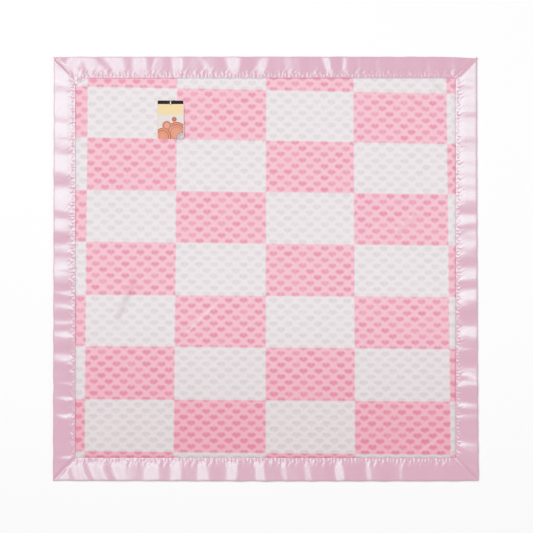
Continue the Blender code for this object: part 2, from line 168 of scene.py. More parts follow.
# Hang tag and pin
TAG_CORNER_RADIUS = 0.0042
TAG_CORNER_POINTS = 7
TAG_EDGE_STEP = 0.003
TAG_HOLE_RADIUS = 0.0016
TAG_EDGE_ROUNDING = 0.00012
TAG_SIDE_CURL, TAG_SIDE_CURL_FROM = 0.0034, 0.3
TAG_CORNER_CURL, TAG_CORNER_CURL_FROM = 0.0010, 0.35
TAG_RINGS = 24
TAG_PAPER_EDGE = (0.0008, 0.0011)
TAG_EDGE_INSET = 0.0007
PIN_FILAMENT_RADIUS = 0.00035
PIN_BAR_RADIUS = 0.00045
PIN_PADDLE_WIDTH = 0.0023
PIN_PADDLE_THICKNESS = 0.0008
PIN_PADDLE_OVERHANG = 0.0012
PIN_PADDLE_END = 0.0009
PIN_PADDLE_WAIST = 0.10
PIN_PADDLE_SQUARENESS = 0.45
PIN_FOOT, PIN_FOOT_REACH = 0.5, 0.0006
PIN_FLEX_RINGS = 61

# Light: the key is a soft box whose near end shines more in the satin than its far end
KEY_PLACE = (-1.10, 0.85, 4.00)
KEY_WIDTH = 0.40
KEY_DEPTH = 2.10
KEY_POWER = 110.0
KEY_NEAR_DEPTH = 0.50
KEY_NEAR_SHINE = 1.30
KEY_FAR_SHINE = 0.76
VEIL_LIFT = 0.01
FILL_PLACE = (1.30, 0.10, 1.50)
FILL_WIDTH = 1.20
FILL_POWER = 5.0
WORLD_LEVEL = 0.34
FLOOR_GLOW = 0.36
FLOOR_REACH = 4.0
FLOOR_LEVEL = -0.0004

FRONT_PRESSED_TOP = FRONT_LOW.z + PRESSED_THICKNESS
BACK_PRESSED_BOTTOM = BACK_HIGH.z - PRESSED_THICKNESS
HEM_THICKNESS = 2 * SATIN_THICKNESS
UPPER_HEM_TOP = FRONT_PRESSED_TOP + FIT_GAP + HEM_THICKNESS
LOWER_HEM_BOTTOM = BACK_PRESSED_BOTTOM - FIT_GAP - HEM_THICKNESS

# Slopes of the satin along each side, read from its shine in the photograph, in its pixels.
# Each row: where the slope starts at the outer fold, half way across and at the seam, where it
# ends at the same three, and its steepness at the fold and at the seam. Above zero it rises
# rightwards on the upper and lower sides, and downwards on the other two.
TOP_SLOPES = (
    (60, 61, 74, 72, 66, 75, -0.9, -0.1), (72, 68, 71, 80, 77, 74, 1.0, 0.6),
    (80, 78, 76, 90, 80, 77, 0.25, 0.15), (79, 80, 86, 81, 87, 90, -0.1, -0.8),
    (84, 88, 91, 93, 101, 104, 0.05, 0.2), (94, 104, 112, 101, 111, 117, -0.3, -0.8),
    (107, 113, 118, 121, 123, 125, 0.8, 0.95), (133, 134, 136, 145, 147, 145, 1.0, 1.0),
    (155, 152, 151, 160, 155, 155, 0.35, 0.7), (173, 174, 176, 182, 182, 181, 1.0, 1.0),
    (192, 192, 193, 193, 193, 197, 0.0, 0.6), (197, 204, 209, 203, 210, 215, 0.3, 0.5),
    (221, 221, 221, 222, 222, 225, 0.0, 0.7), (226, 229, 232, 239, 239, 237, 1.0, 1.0),
    (246, 246, 246, 247, 247, 249, 0.0, 0.6), (262, 256, 256, 270, 267, 262, 0.4, 0.8),
    (284, 285, 287, 292, 292, 292, 0.4, 0.4), (309, 309, 309, 310, 310, 313, 0.0, 0.6),
    (321, 325, 329, 329, 331, 333, 0.75, 0.85), (342, 342, 342, 347, 347, 346, 0.5, 0.6),
    (357, 357, 357, 361, 361, 360, 0.3, 0.3), (376, 376, 376, 380, 380, 380, 0.1, 0.5),
    (408, 408, 408, 409, 410, 411, 0.0, 0.5), (427, 427, 427, 428, 430, 430, 0.1, 0.5),
    (451, 451, 450, 454, 455, 454, 0.05, 0.35),
)
BOTTOM_SLOPES = (
    (66, 64, 66, 69, 66, 68, 0.6, 0.1), (70, 67, 70, 77, 73, 74, -0.7, -0.7),
    (78, 74, 75, 80, 76, 79, 1.0, 1.0), (80.5, 77, 79.3, 82, 79.6, 79.6, -0.6, -0.1),
    (82, 80, 79, 89, 83, 84, 0.9, 1.0), (90, 84, 85, 96, 91, 89, -0.6, -0.6),
    (97, 91, 90, 108, 102, 105, 1.0, 1.0), (109, 103, 106, 117, 112, 113, -0.4, -0.4),
    (118, 113, 114, 125, 124, 124, 0.9, 1.0), (134, 134, 133, 135, 135, 138, 0.0, 0.6),
    (144, 145, 146, 158, 158, 157, 0.9, 1.0), (160, 160, 161, 161, 162, 165, 0.0, 0.7),
    (171, 172, 172, 181, 181, 180, 0.9, 0.9), (182, 182, 182, 183, 183, 186, 0.0, 0.6),
    (198, 198, 200, 209, 207, 205, 0.9, 0.9), (212, 212, 212, 213, 213, 216, 0.0, 0.6),
    (228, 228, 229, 235, 237, 234, 1.0, 1.0), (236, 236, 237, 237, 237, 240, 0.0, 0.5),
    (243, 243, 243, 244, 244, 245, 0.0, 0.5), (257, 256, 256, 265, 264, 263, 1.0, 1.0),
    (269, 269, 269, 270, 270, 272, 0.0, 0.6), (284, 281, 281, 288, 287, 286, 0.35, 0.7),
    (291, 291, 291, 301, 301, 300, 0.12, 0.08), (305, 304, 303, 312, 311, 309, 0.5, 0.4),
    (311, 311, 311, 312, 312, 315, 0.0, 0.8), (319, 319, 319, 330, 328, 326, 0.15, 0.05),
    (337, 335, 336, 344, 343, 340, 1.0, 1.0), (349, 349, 349, 357, 356, 354, 0.15, 0.0),
    (367, 365, 366, 373, 371, 370, 0.45, 0.55), (400, 399, 399, 403, 403, 403, 0.3, 0.3),
    (442, 442, 443, 443, 443, 447, 0.0, 0.5),
)
LEFT_SLOPES = (
    (60, 68, 79, 67, 77, 89, -0.4, -0.6), (86, 86, 90, 95, 94, 97, -0.6, -0.9),
    (119, 120, 123, 125, 126, 128, -0.3, -0.5), (138, 138, 138, 140, 141, 142, -0.1, -0.9),
    (141, 143, 150, 152, 157, 157, -0.5, -0.7), (174, 174, 179, 187, 187, 185, -1.0, -1.0),
    (205, 204, 205, 207, 208, 209, 0.0, -0.7), (211, 212, 216, 219, 220, 221, -0.7, -0.7),
    (220, 220, 222, 230, 229, 229, 0.2, 0.1), (227, 227, 226, 229, 229, 230, 0.0, -1.0),
    (232, 233, 236, 245, 245, 243, -1.0, -1.0), (243, 243, 243, 250, 250, 252, 0.3, 0.4),
    (253, 253, 255, 258, 258, 260, -0.35, -0.35), (259, 260, 261, 281, 281, 281, 0.45, 0.35),
    (269, 270, 269, 272, 273, 273, -0.1, -0.7), (283, 284, 285, 291, 291, 290, -0.5, -0.8),
    (292, 292, 292, 293, 296, 297, 0.2, 0.7), (305, 305, 305, 306, 309, 310, 0.05, 0.6),
    (321, 321, 321, 325, 325, 325, 0.25, 0.5), (331, 331, 330, 336, 338, 337, 0.4, 0.9),
    (353, 354, 353, 360, 364, 366, 0.25, 0.75), (370, 370, 369, 371, 372, 374, 0.0, 0.8),
    (382, 382, 381, 384, 385, 387, 0.1, 0.8), (390, 390, 389, 391, 391, 392, 0.0, 0.6),
    (397, 397, 396, 398, 401, 402, 0.1, 1.0), (407, 407, 406, 408, 408, 410, 0.0, 0.7),
    (414, 414, 413, 415, 419, 418, 0.1, 1.0), (424, 424, 423, 425, 425, 427, 0.0, 0.9),
    (433, 433, 432, 434, 434, 436, 0.0, 0.9), (443, 443, 441, 445, 446, 445, 0.0, 0.6),
    (457, 456, 455, 459, 460, 459, 0.1, 0.9),
)
RIGHT_SLOPES = (
    (79, 79, 80, 87, 86, 84, -0.5, -0.7), (87, 86, 84, 89, 92, 92, -0.1, -1.0),
    (95, 94, 93, 98, 99, 100, -0.1, -1.0), (112, 113, 115, 125, 126, 123, -0.55, -0.6),
    (140, 140, 143, 150, 150, 149, -0.6, -0.75), (163, 163, 162, 165, 166, 166, 0.0, -0.6),
    (179, 179, 178, 181, 182, 182, 0.0, -0.6), (203, 203, 209, 215, 215, 214, -0.7, -0.8),
    (223, 225, 229, 232, 233, 237, -0.5, -0.65), (247, 255, 258, 268, 268, 270, -0.55, -0.7),
    (272, 273, 274, 280, 281, 281, 0.5, 0.45), (280, 280, 284, 289, 288, 291, -0.3, -0.5),
    (291, 291, 294, 301, 304, 306, 0.5, 0.6), (305, 308, 310, 324, 324, 325, -0.7, -0.7),
    (325, 325, 326, 340, 339, 338, 0.8, 0.85), (348, 348, 346, 350, 351, 352, 0.1, 0.9),
    (369, 369, 370, 384, 379, 375, 0.8, 0.8), (382, 381, 380, 388, 388, 388, 0.45, 0.9),
    (404, 403, 401, 410, 409, 406, 0.35, 0.9), (414, 414, 416, 418, 419, 420, 0.2, 0.6),
    (443, 442, 441, 452, 451, 444, 0.35, 0.75), (451, 451, 451, 452, 452, 454, 0.0, 0.6),
)

# How far the outline strays outwards from its rectangle: share of the side, metres
TOP_STRAY = ((0.0, -0.0006), (0.04, 0.0), (0.5, 0.0003), (0.92, 0.0), (1.0, -0.0028))
RIGHT_STRAY = ((0.0, -0.0016), (0.3, -0.0010), (0.6, 0.0), (0.85, 0.0008), (1.0, 0.0020))
BOTTOM_STRAY = ((0.0, -0.0008), (0.12, -0.0004), (0.5, 0.0004), (0.9, 0.0002), (1.0, -0.0004))
LEFT_STRAY = ((0.0, -0.0010), (0.3, -0.0004), (0.6, 0.0), (1.0, 0.0008))

# The printed blocks: where their edges cross the panel, in the photograph's pixels.
# Columns at the rows 115 and 430, rows at the columns 120 and 400.
COLUMN_EDGE_ROWS = (115.0, 430.0)
COLUMN_EDGES = ((87.7, 84.9), (177.0, 174.0), (266.1, 265.6), (353.6, 354.9), (446.5, 450.2))
ROW_EDGE_COLUMNS = (120.0, 400.0)
ROW_EDGES = (
    (87.4, 93.0), (138.2, 143.2), (190.4, 193.8), (242.0, 245.2),
    (295.0, 296.8), (346.3, 348.6), (399.2, 401.2), (451.4, 454.2),
)

# The hearts' lattice: one heart's place in the photograph's pixels, the steps to its
# neighbours and the slight skew of the cloth. Every second place holds a heart.
HEART_ORIGIN = (310.2, 271.6)
HEART_STEP = (7.3866, 5.8485)
SKEW_ACROSS = (0.03736, 0.00544, 0.00081)
SKEW_DOWN = (0.0711, -0.00124, -0.00024)
HEART_HALF_WIDTH = 0.0060
HEART_HALF_HEIGHT = 0.0056
LOBE_CENTRE = (0.518, 0.055)
LOBE_RADIUS = 0.625
HEART_SIDE_NORMAL = (0.641, -0.768)
HEART_TIP = -0.95
HEART_SOFTNESS = 0.40

# Creases of the plush: both ends in the photograph's pixels, half width and rise in metres,
# and the strength of the painted highlight along each, or, below zero, of the painted shade
CREASES = (
    ((139, 272), (114, 328), 0.0052, -0.0008, -0.30), ((219, 301), (181, 338), 0.0022, 0.0006, 0.48),
    ((421, 208), (388, 236), 0.0022, 0.0005, 0.22), ((424, 212), (390, 241), 0.0030, -0.0005, -0.16),
    ((441, 430), (414, 450), 0.0028, -0.0005, -0.14), ((444, 434), (417, 454), 0.0020, 0.0005, 0.18),
    ((409, 97), (427, 111), 0.0034, -0.0006, -0.16), ((430, 82), (447, 95), 0.0028, -0.0006, -0.22),
    ((140, 94), (112, 106), 0.0030, 0.0005, 0.30), ((146, 100), (116, 116), 0.0030, -0.0005, -0.08),
)
CREASE_FADE = 0.3

# Painted shade: the plush and its hearts are painted darker towards the blanket's lower edge
SHADE_LOWER_FROM = 0.02
SHADE_LOWER_TO = 0.37
SHADE_LOWER_SHARE = 0.27
PRINT_BLUR = 0.9
PRINT_SHIFT = 0.0022
# The last of these: how much stronger the hearts are painted lower down, painted shade
HEART_DEPTH_LEAST, HEART_DEPTH_SPREAD, HEART_SHADE_LOWER = 0.64, 0.42, 0.40
HEART_CLOUD_LEAST, HEART_CLOUD_SPREAD = 0.62, 0.7
# Reach of the painted shade on the plush beside the binding
EDGE_SHADE_REACH = 0.0024
NAP_SIZE, NAP_STRENGTH = 0.0014, 0.8
HEART_PRESS = 0.9
PLUSH_SHEEN = {"sheen_weight": 0.25, "sheen_roughness": 0.5, "specular_ior_level": 0.15}

# The card's print: where its parts end, as shares of its length, and its plain discs: their
# centre across and down as shares of the card, radius, colour of the rings and of the middle
HEADER_END = (0.094, 0.100)
CREAM_END = (0.33, 0.41)
DISCS_BELOW = 0.40
DISCS = (
    (0.72, 0.84, 0.0195, (186, 90, 68), (226, 158, 134)),
    (0.20, 0.93, 0.0150, (178, 84, 58), (228, 158, 128)),
    (0.36, 0.65, 0.0085, (186, 100, 78), (226, 164, 142)),
    (0.64, 0.49, 0.0045, (166, 78, 60), (204, 124, 100)),
    (0.95, 0.98, 0.0105, (134, 124, 142), (214, 204, 208)),
)
DISC_EDGE = 0.0002
RING_STEP = 0.0021
RING_EDGE = (0.0007, 0.0013)

Side = namedtuple(
    "Side",
    "name corner along inwards length before width after slopes stray laps seed tug calmer calmer_over",
)


def linear(red, green, blue):
    """An sRGB colour, 0 to 255, as the linear colour that a shader takes."""
    channels = []
    for channel in (red, green, blue):
        share = channel / 255
        channels.append(share / 12.92 if share <= 0.04045 else ((share + 0.055) / 1.055) ** 2.4)
    return (*channels, 1.0)


def across(pixel_x):
    """Metres to the right of the blanket's centre."""
    return (pixel_x - CENTRE_PIXEL_X) * PIXEL


def upward(pixel_y):
    """Metres above the blanket's centre, in the picture."""
    return (CENTRE_PIXEL_Y - pixel_y) * PIXEL


def smooth(share):
    """Ease from 0 to 1 with level ends."""
    share = np.clip(share, 0.0, 1.0)
    return share * share * (3 - 2 * share)


def ease(value, low, high):
    """0 below low, 1 above high, smooth between, for numbers and for shader values."""
    if isinstance(value, Value):
        return value.shader.ease(value, low, high)
    return smooth((value - low) / (high - low))


def waves(place, length, seed, count=5):
    """Smooth, even noise along one direction: a few sines of about the given length, -1 to 1."""
    draw = np.random.default_rng(seed)
    total = np.zeros_like(place, dtype=float)
    for _ in range(count):
        wavelength = length * draw.uniform(0.6, 1.6)
        total += np.sin(2 * math.pi * (place / wavelength + draw.uniform()))
    return total / count ** 0.5 / 1.2


def rolls(x, y, length, seed, count=7):
    """Smooth noise over a plane."""
    draw = np.random.default_rng(seed)
    total = np.zeros_like(x, dtype=float)
    for _ in range(count):
        turn = draw.uniform(0, math.pi)
        wavelength = length * draw.uniform(0.6, 1.6)
        run = (x * math.cos(turn) + y * math.sin(turn)) / wavelength
        total += np.sin(2 * math.pi * (run + draw.uniform()))
    return total / count ** 0.5 / 1.2


# Meshes

def new_object(name, mesh, material):
    """Link a mesh and give it its material."""
    mesh.materials.append(material)
    item = bpy.data.objects.new(name, mesh)
    bpy.context.scene.collection.objects.link(item)
    return item


def add_mesh(name, points, faces, material, smooth_angle=None, uv=None):
    """A closed mesh with its faces outwards, smooth except at edges sharper than the angle."""
    mesh = bpy.data.meshes.new(name)
    mesh.from_pydata(points.tolist(), [], faces)
    mesh.validate()
    if uv is not None:
        layer = mesh.uv_layers.new(name="cloth")
        corners = np.empty(len(mesh.loops), dtype=np.int32)
        mesh.loops.foreach_get("vertex_index", corners)
        layer.data.foreach_set("uv", uv.reshape(-1, 2)[corners].ravel())
    mesh.update()
    if signed_volume(mesh) < 0:
        mesh.flip_normals()
    mesh.shade_smooth()
    if smooth_angle:
        mesh.set_sharp_from_angle(angle=math.radians(smooth_angle))
    return new_object(name, mesh, material)


def signed_volume(mesh):
    """Volume of a closed mesh, negative if its faces point inwards."""
    mesh.calc_loop_triangles()
    corners = np.empty(len(mesh.loop_triangles) * 3, dtype=np.int32)
    mesh.loop_triangles.foreach_get("vertices", corners)
    places = np.empty(len(mesh.vertices) * 3)
    mesh.vertices.foreach_get("co", places)
    triangles = places.reshape(-1, 3)[corners].reshape(-1, 3, 3)
    return float(np.einsum("ij,ij->i", triangles[:, 0], np.cross(triangles[:, 1], triangles[:, 2])).sum() / 6)


def ring_faces(index, closed=True):
    """Faces between rings of vertex numbers, and flat ends if the body is closed by them."""
    after = np.roll(index, -1, axis=1)
    quads = np.stack([index[:-1], after[:-1], after[1:], index[1:]], axis=-1).reshape(-1, 4)
    return quads.tolist() + ([index[0][::-1].tolist(), index[-1].tolist()] if closed else [])


def loft(name, rings, material, uv=None, smooth_angle=40, round_hole=False):
    """A closed body through rings of points (sections x points x 3), with flat ends.
    Round a hole the last ring joins the first instead."""
    sections, count = rings.shape[:2]
    index = np.arange(sections * count).reshape(sections, count)
    if round_hole:
        index = np.concatenate([index, index[:1]])
    faces = ring_faces(index, closed=not round_hole)
    return add_mesh(name, rings.reshape(-1, 3), faces, material, smooth_angle, uv)


def slab(name, xs, ys, face_z, back_z, material):
    """A closed cloth: a surface of heights over a grid, a rim, and a flat back."""
    grid_x, grid_y = np.meshgrid(xs, ys)
    top = np.stack([grid_x, grid_y, face_z], axis=-1).reshape(-1, 3)
    rows, columns = grid_x.shape
    index = np.arange(rows * columns).reshape(rows, columns)
    quads = np.stack([index[:-1, :-1], index[:-1, 1:], index[1:, 1:], index[1:, :-1]], axis=-1)
    rim = np.concatenate([index[0, :-1], index[:-1, -1], index[-1, :0:-1], index[:0:-1, 0]])
    low = top[rim].copy()
    low[:, 2] = back_z
    below = len(top) + np.arange(len(rim))
    walls = np.stack([rim, below, np.roll(below, -1), np.roll(rim, -1)], axis=-1)
    faces = quads.reshape(-1, 4).tolist() + walls.tolist() + [below[::-1].tolist()]
    return add_mesh(name, np.concatenate([top, low]), faces, material, 50)


def tube_group(name, paths, radius, material, sides=6):
    """Separate closed tubes along rows of points, thinner at their ends, one mesh."""
    angles = 2 * math.pi * np.arange(sides)[:, None] / sides
    points, faces, used = [], [], 0
    for path in paths:
        tangent = np.gradient(path, axis=0)
        tangent /= np.linalg.norm(tangent, axis=1)[:, None]
        side = np.cross(tangent, (0.0, 0.0, 1.0))
        side /= np.linalg.norm(side, axis=1)[:, None]
        up = np.cross(side, tangent)
        share = np.linspace(0, 1, len(path))[:, None, None]
        width = radius * (np.clip(4 * share * (1 - share), 0, 1) ** 0.3 * 0.7 + 0.3)
        outwards = side[:, None] * np.cos(angles) + up[:, None] * np.sin(angles)
        points.append((path[:, None] + width * outwards).reshape(-1, 3))
        index = used + np.arange(len(path) * sides).reshape(len(path), sides)
        faces += ring_faces(index)
        used += index.size
    return add_mesh(name, np.concatenate(points), faces, material)


# Shader nodes

class Value(np.lib.mixins.NDArrayOperatorsMixin):
    """A value in a shader. Each sum with it, and each numpy call on it, adds a math node."""

    NODES = {
        np.add: "ADD", np.subtract: "SUBTRACT", np.multiply: "MULTIPLY", np.true_divide: "DIVIDE",
        np.minimum: "MINIMUM", np.maximum: "MAXIMUM",
        np.absolute: "ABSOLUTE", np.rint: "ROUND", np.sqrt: "SQRT",
    }

    def __init__(self, shader, socket):
        self.shader = shader
        self.socket = socket

    def __array_ufunc__(self, ufunc, method, *values):
        return self.shader.math(self.NODES[ufunc], *values)


class Shader:
    """A material and short calls for its nodes."""

    def __init__(self, name, roughness):
        self.material = bpy.data.materials.new(name)
        self.material.use_nodes = True
        self.tree = self.material.node_tree
        self.principled = self.tree.nodes["Principled BSDF"]
        self.set(roughness=roughness)
        self.place = self.add("ShaderNodeTexCoord").outputs["Object"]

    def set(self, **values):
        """Plain values on the shader's own sockets, by lower-case socket name."""
        for name, value in values.items():
            self.principled.inputs[name.replace("_", " ").title().replace("Ior", "IOR")].default_value = value

    def add(self, kind):
        """A new node."""
        return self.tree.nodes.new(kind)

    def feed(self, socket, value):
        """Link a value or a socket, or set a number or an sRGB colour."""
        if isinstance(value, Value):
            value = value.socket
        if isinstance(value, bpy.types.NodeSocket):
            self.tree.links.new(value, socket)
        else:
            socket.default_value = linear(*value) if isinstance(value, tuple) else value

    def math(self, operation, *values, clamp=False):
        """A math node."""
        node = self.add("ShaderNodeMath")
        node.operation = operation
        node.use_clamp = clamp
        for socket, value in zip(node.inputs, values):
            self.feed(socket, value)
        return Value(self, node.outputs[0])

    def ease(self, value, low, high):
        """0 below low, 1 above high, smooth between."""
        node = self.add("ShaderNodeMapRange")
        node.interpolation_type = "SMOOTHSTEP"
        self.feed(node.inputs["Value"], value)
        node.inputs["From Min"].default_value = low
        node.inputs["From Max"].default_value = high
        return Value(self, node.outputs["Result"])

    def mix(self, share, first, second):
        """Mix two colours."""
        node = self.add("ShaderNodeMix")
        node.data_type = "RGBA"
        self.feed(node.inputs[0], share)
        self.feed(node.inputs[6], first)
        self.feed(node.inputs[7], second)
        return node.outputs[2]

    def noise(self, size, detail=2.0, place=None, stretch=None):
        """Noise whose features are about size metres, 0 to 1."""
        source = place or self.place
        if stretch:
            mapping = self.add("ShaderNodeMapping")
            self.feed(mapping.inputs["Vector"], source)
            mapping.inputs["Scale"].default_value = stretch
            source = mapping.outputs["Vector"]
        node = self.add("ShaderNodeTexNoise")
        self.feed(node.inputs["Vector"], source)
        node.inputs["Scale"].default_value = 1 / size
        node.inputs["Detail"].default_value = detail
        return Value(self, node.outputs["Fac"])

    def across_and_up(self):
        """X and Y of the place."""
        node = self.add("ShaderNodeSeparateXYZ")
        self.feed(node.inputs[0], self.place)
        return Value(self, node.outputs[0]), Value(self, node.outputs[1])

    def chance(self, first, second):
        """A number from 0 to 1 by lot for each pair of whole numbers."""
        pair = self.add("ShaderNodeCombineXYZ")
        self.feed(pair.inputs[0], first)
        self.feed(pair.inputs[1], second)
        node = self.add("ShaderNodeTexWhiteNoise")
        node.noise_dimensions = "2D"
        self.feed(node.inputs["Vector"], pair.outputs[0])
        return Value(self, node.outputs["Value"])

    def bump(self, height, depth, strength=1.0):
        """Bump of a height from 0 to 1 that stands for depth metres."""
        node = self.add("ShaderNodeBump")
        node.inputs["Strength"].default_value = strength
        node.inputs["Distance"].default_value = depth
        self.feed(node.inputs["Height"], height)
        self.tree.links.new(node.outputs["Normal"], self.principled.inputs["Normal"])

    def colour(self, share, first, second):
        """Mix two colours for the base colour."""
        self.feed(self.principled.inputs["Base Color"], self.mix(share, first, second))


# The print, for numbers and for shader values

def edge_line(first, second, first_at, second_at):
    """Value at the picture's origin and slope of a line through two places."""
    slope = (second - first) / (second_at - first_at)
    return first - slope * first_at, slope


def nearest_heart(pixel_x, pixel_y):
    """How far outside the nearest heart a place in the picture is, below zero inside it,
    and the heart's two numbers in the lattice."""
    i = (pixel_x - HEART_ORIGIN[0]) / HEART_STEP[0]
    j = (pixel_y - HEART_ORIGIN[1]) / HEART_STEP[1]
    both, j_squared = i * j, j * j
    skew_i = j * SKEW_ACROSS[0] + both * SKEW_ACROSS[1] + j_squared * SKEW_ACROSS[2]
    skew_j = i * SKEW_DOWN[0] + both * SKEW_DOWN[1] + j_squared * SKEW_DOWN[2]
    fixed_i, fixed_j = i - skew_i / HEART_STEP[0], j - skew_j / HEART_STEP[1]
    first, second = (fixed_i + fixed_j) * 0.5, (fixed_i - fixed_j) * 0.5
    first_whole, second_whole = np.rint(first), np.rint(second)
    first_rest, second_rest = first - first_whole, second - second_whole
    heart_x = np.absolute(first_rest + second_rest) * (HEART_STEP[0] * PIXEL / HEART_HALF_WIDTH)
    heart_y = (second_rest - first_rest) * (HEART_STEP[1] * PIXEL / HEART_HALF_HEIGHT)
    lobe_x, lobe_y = heart_x - LOBE_CENTRE[0], heart_y - LOBE_CENTRE[1]
    lobe = np.sqrt(lobe_x * lobe_x + lobe_y * lobe_y) - LOBE_RADIUS
    wedge = heart_x * HEART_SIDE_NORMAL[0] + (heart_y - HEART_TIP) * HEART_SIDE_NORMAL[1]
    return np.minimum(lobe, np.maximum(wedge, lobe_y)), first_whole, second_whole


def heart_share(outside):
    """1 inside a heart, 0 outside it, soft at its edge."""
    return 1 - ease(outside, -HEART_SOFTNESS, HEART_SOFTNESS)


def beside_crease(x, y, crease):
    """How far a place is beside a crease, and how strong the crease is there along its length."""
    start = np.array((across(crease[0][0]), upward(crease[0][1])))
    run = np.array((across(crease[1][0]), upward(crease[1][1]))) - start
    length = float(np.hypot(*run))
    way_x, way_y = (float(part) for part in run / length)
    from_x, from_y = x - float(start[0]), y - float(start[1])
    along = from_x * way_x + from_y * way_y
    fade = CREASE_FADE * length
    return from_x * way_y - from_y * way_x, ease(along, 0.0, fade) * ease(length - along, 0.0, fade)


# Materials

def printed_plush():
    """Short pile, printed with pink and off-white blocks full of hearts; painted shade lower down, beside the
    binding and along creases, and painted highlights along creases.
    """
    s = Shader("printed_plush", 0.9)
    s.set(**PLUSH_SHEEN)
    x, y = s.across_and_up()
    shift_x = (s.noise(0.0022, 3.0) - 0.5) * PRINT_SHIFT
    shift_y = (s.noise(0.0020, 2.0, stretch=(1.0, 1.0, 3.0)) - 0.5) * PRINT_SHIFT
    pixel_x = (x + shift_x) / PIXEL + CENTRE_PIXEL_X
    pixel_y = CENTRE_PIXEL_Y - (y + shift_y) / PIXEL

    checker = 1.0
    for edges, places, run, position in (
        (COLUMN_EDGES, COLUMN_EDGE_ROWS, pixel_y, pixel_x), (ROW_EDGES, ROW_EDGE_COLUMNS, pixel_x, pixel_y)
    ):
        for first, second in edges:
            start, slope = edge_line(first, second, *places)
            past = position - (run * slope + start)
            checker = (1 - ease(past, -PRINT_BLUR, PRINT_BLUR) * 2) * checker
    pink = 0.5 - checker * 0.5

    outside, first_whole, second_whole = nearest_heart(pixel_x, pixel_y)
    # Painted shade: darker plush and stronger hearts towards the lower edge
    lower = ease(y * -1, SHADE_LOWER_FROM, SHADE_LOWER_TO)
    depth = s.chance(first_whole, second_whole) * HEART_DEPTH_SPREAD + HEART_DEPTH_LEAST
    depth = depth * (lower * HEART_SHADE_LOWER + 1)
    cloud = s.noise(0.004, 3.0)
    heart = heart_share(outside) * depth * (cloud * HEART_CLOUD_SPREAD + HEART_CLOUD_LEAST)

    pink_ground = s.mix(s.noise(0.0016, 3.0), (242, 189, 204), (254, 211, 221))
    white_ground = s.mix(s.noise(0.0016, 3.0), (233, 226, 229), (245, 240, 241))
    pink_cloth = s.mix(heart, pink_ground, (235, 155, 178))
    white_cloth = s.mix(heart, white_ground, (228, 219, 222))
    cloth = s.mix(pink, white_cloth, pink_cloth)
    # Painted shade colour, mixed in towards the lower edge
    painted_lower_shade = s.mix(pink, (203, 183, 185), (222, 103, 132))
    cloth = s.mix(lower * SHADE_LOWER_SHARE, cloth, painted_lower_shade)
    # Painted highlights and painted shade along the creases, beside their real relief
    shaded = s.mix(pink, (188, 172, 176), (214, 128, 152))
    for crease in CREASES:
        half_width, _, painted_light = crease[2:]
        off, strength = beside_crease(x, y, crease)
        mask = strength * (1 - ease(np.absolute(off), 0.0, 2 * half_width))
        cloth = s.mix(mask * abs(painted_light), cloth, (255, 238, 241) if painted_light > 0 else shaded)

    # Painted shade: the plush is painted darker beside the binding's inner edge, where the satin shades it
    nearest = np.minimum(
        np.minimum(x - INNER_LEFT, INNER_RIGHT - x), np.minimum(INNER_TOP - y, y - INNER_BOTTOM)
    )
    binding_edge_shade = s.math("MULTIPLY", 1 - ease(nearest, 0.0, EDGE_SHADE_REACH), cloud * 0.9 + 0.2, clamp=True)
    s.colour(binding_edge_shade, cloth, s.mix(pink, (196, 184, 188), (205, 112, 138)))
    s.bump(s.noise(NAP_SIZE, 4.0) - heart * HEART_PRESS, 0.0007, NAP_STRENGTH)
    return s.material


def plain_plush():
    """Plain pale pink pile of the backing."""
    s = Shader("plain_plush", 0.9)
    s.set(**PLUSH_SHEEN)
    s.colour(s.noise(0.0035, 4.0), (240, 200, 212), (252, 222, 229))
    s.bump(s.noise(NAP_SIZE, 4.0), 0.0008, NAP_STRENGTH)
    return s.material


def satin():
    """Woven satin: long floats along the ribbon spread the shine across it."""
    s = Shader("satin", 0.42)
    s.set(specular_ior_level=1.0, ior=1.85, specular_tint=(0.5, 1.0, 0.86, 1.0))
    s.set(anisotropic=0.98, anisotropic_rotation=0.25)
    tangent = s.add("ShaderNodeTangent")
    tangent.direction_type = "UV_MAP"
    tangent.uv_map = "cloth"
    s.tree.links.new(tangent.outputs[0], s.principled.inputs["Tangent"])
    uv = s.add("ShaderNodeUVMap")
    uv.uv_map = "cloth"
    threads = s.noise(0.0009, 3.0, place=uv.outputs[0], stretch=(0.12, 3.0, 1.0))
    s.colour(threads, (221, 160, 184), (230, 170, 193))
    s.bump(threads, 0.00006, 0.6)
    return s.material


def grained(name, roughness, size, detail, first, second, depth, strength, **values):
    """A plain material: one noise for its two colours and its bump."""
    s = Shader(name, roughness)
    s.set(**values)
    grain = s.noise(size, detail)
    s.colour(grain, first, second)
    s.bump(grain, depth, strength)
    return s.material


def sewing_thread():
    """Twisted polyester thread."""
    return grained(
        "sewing_thread", 0.5, 0.0005, 2.0, (222, 184, 201), (238, 206, 219), 0.0001, 1.0,
        specular_ior_level=0.35, sheen_weight=0.1,
    )


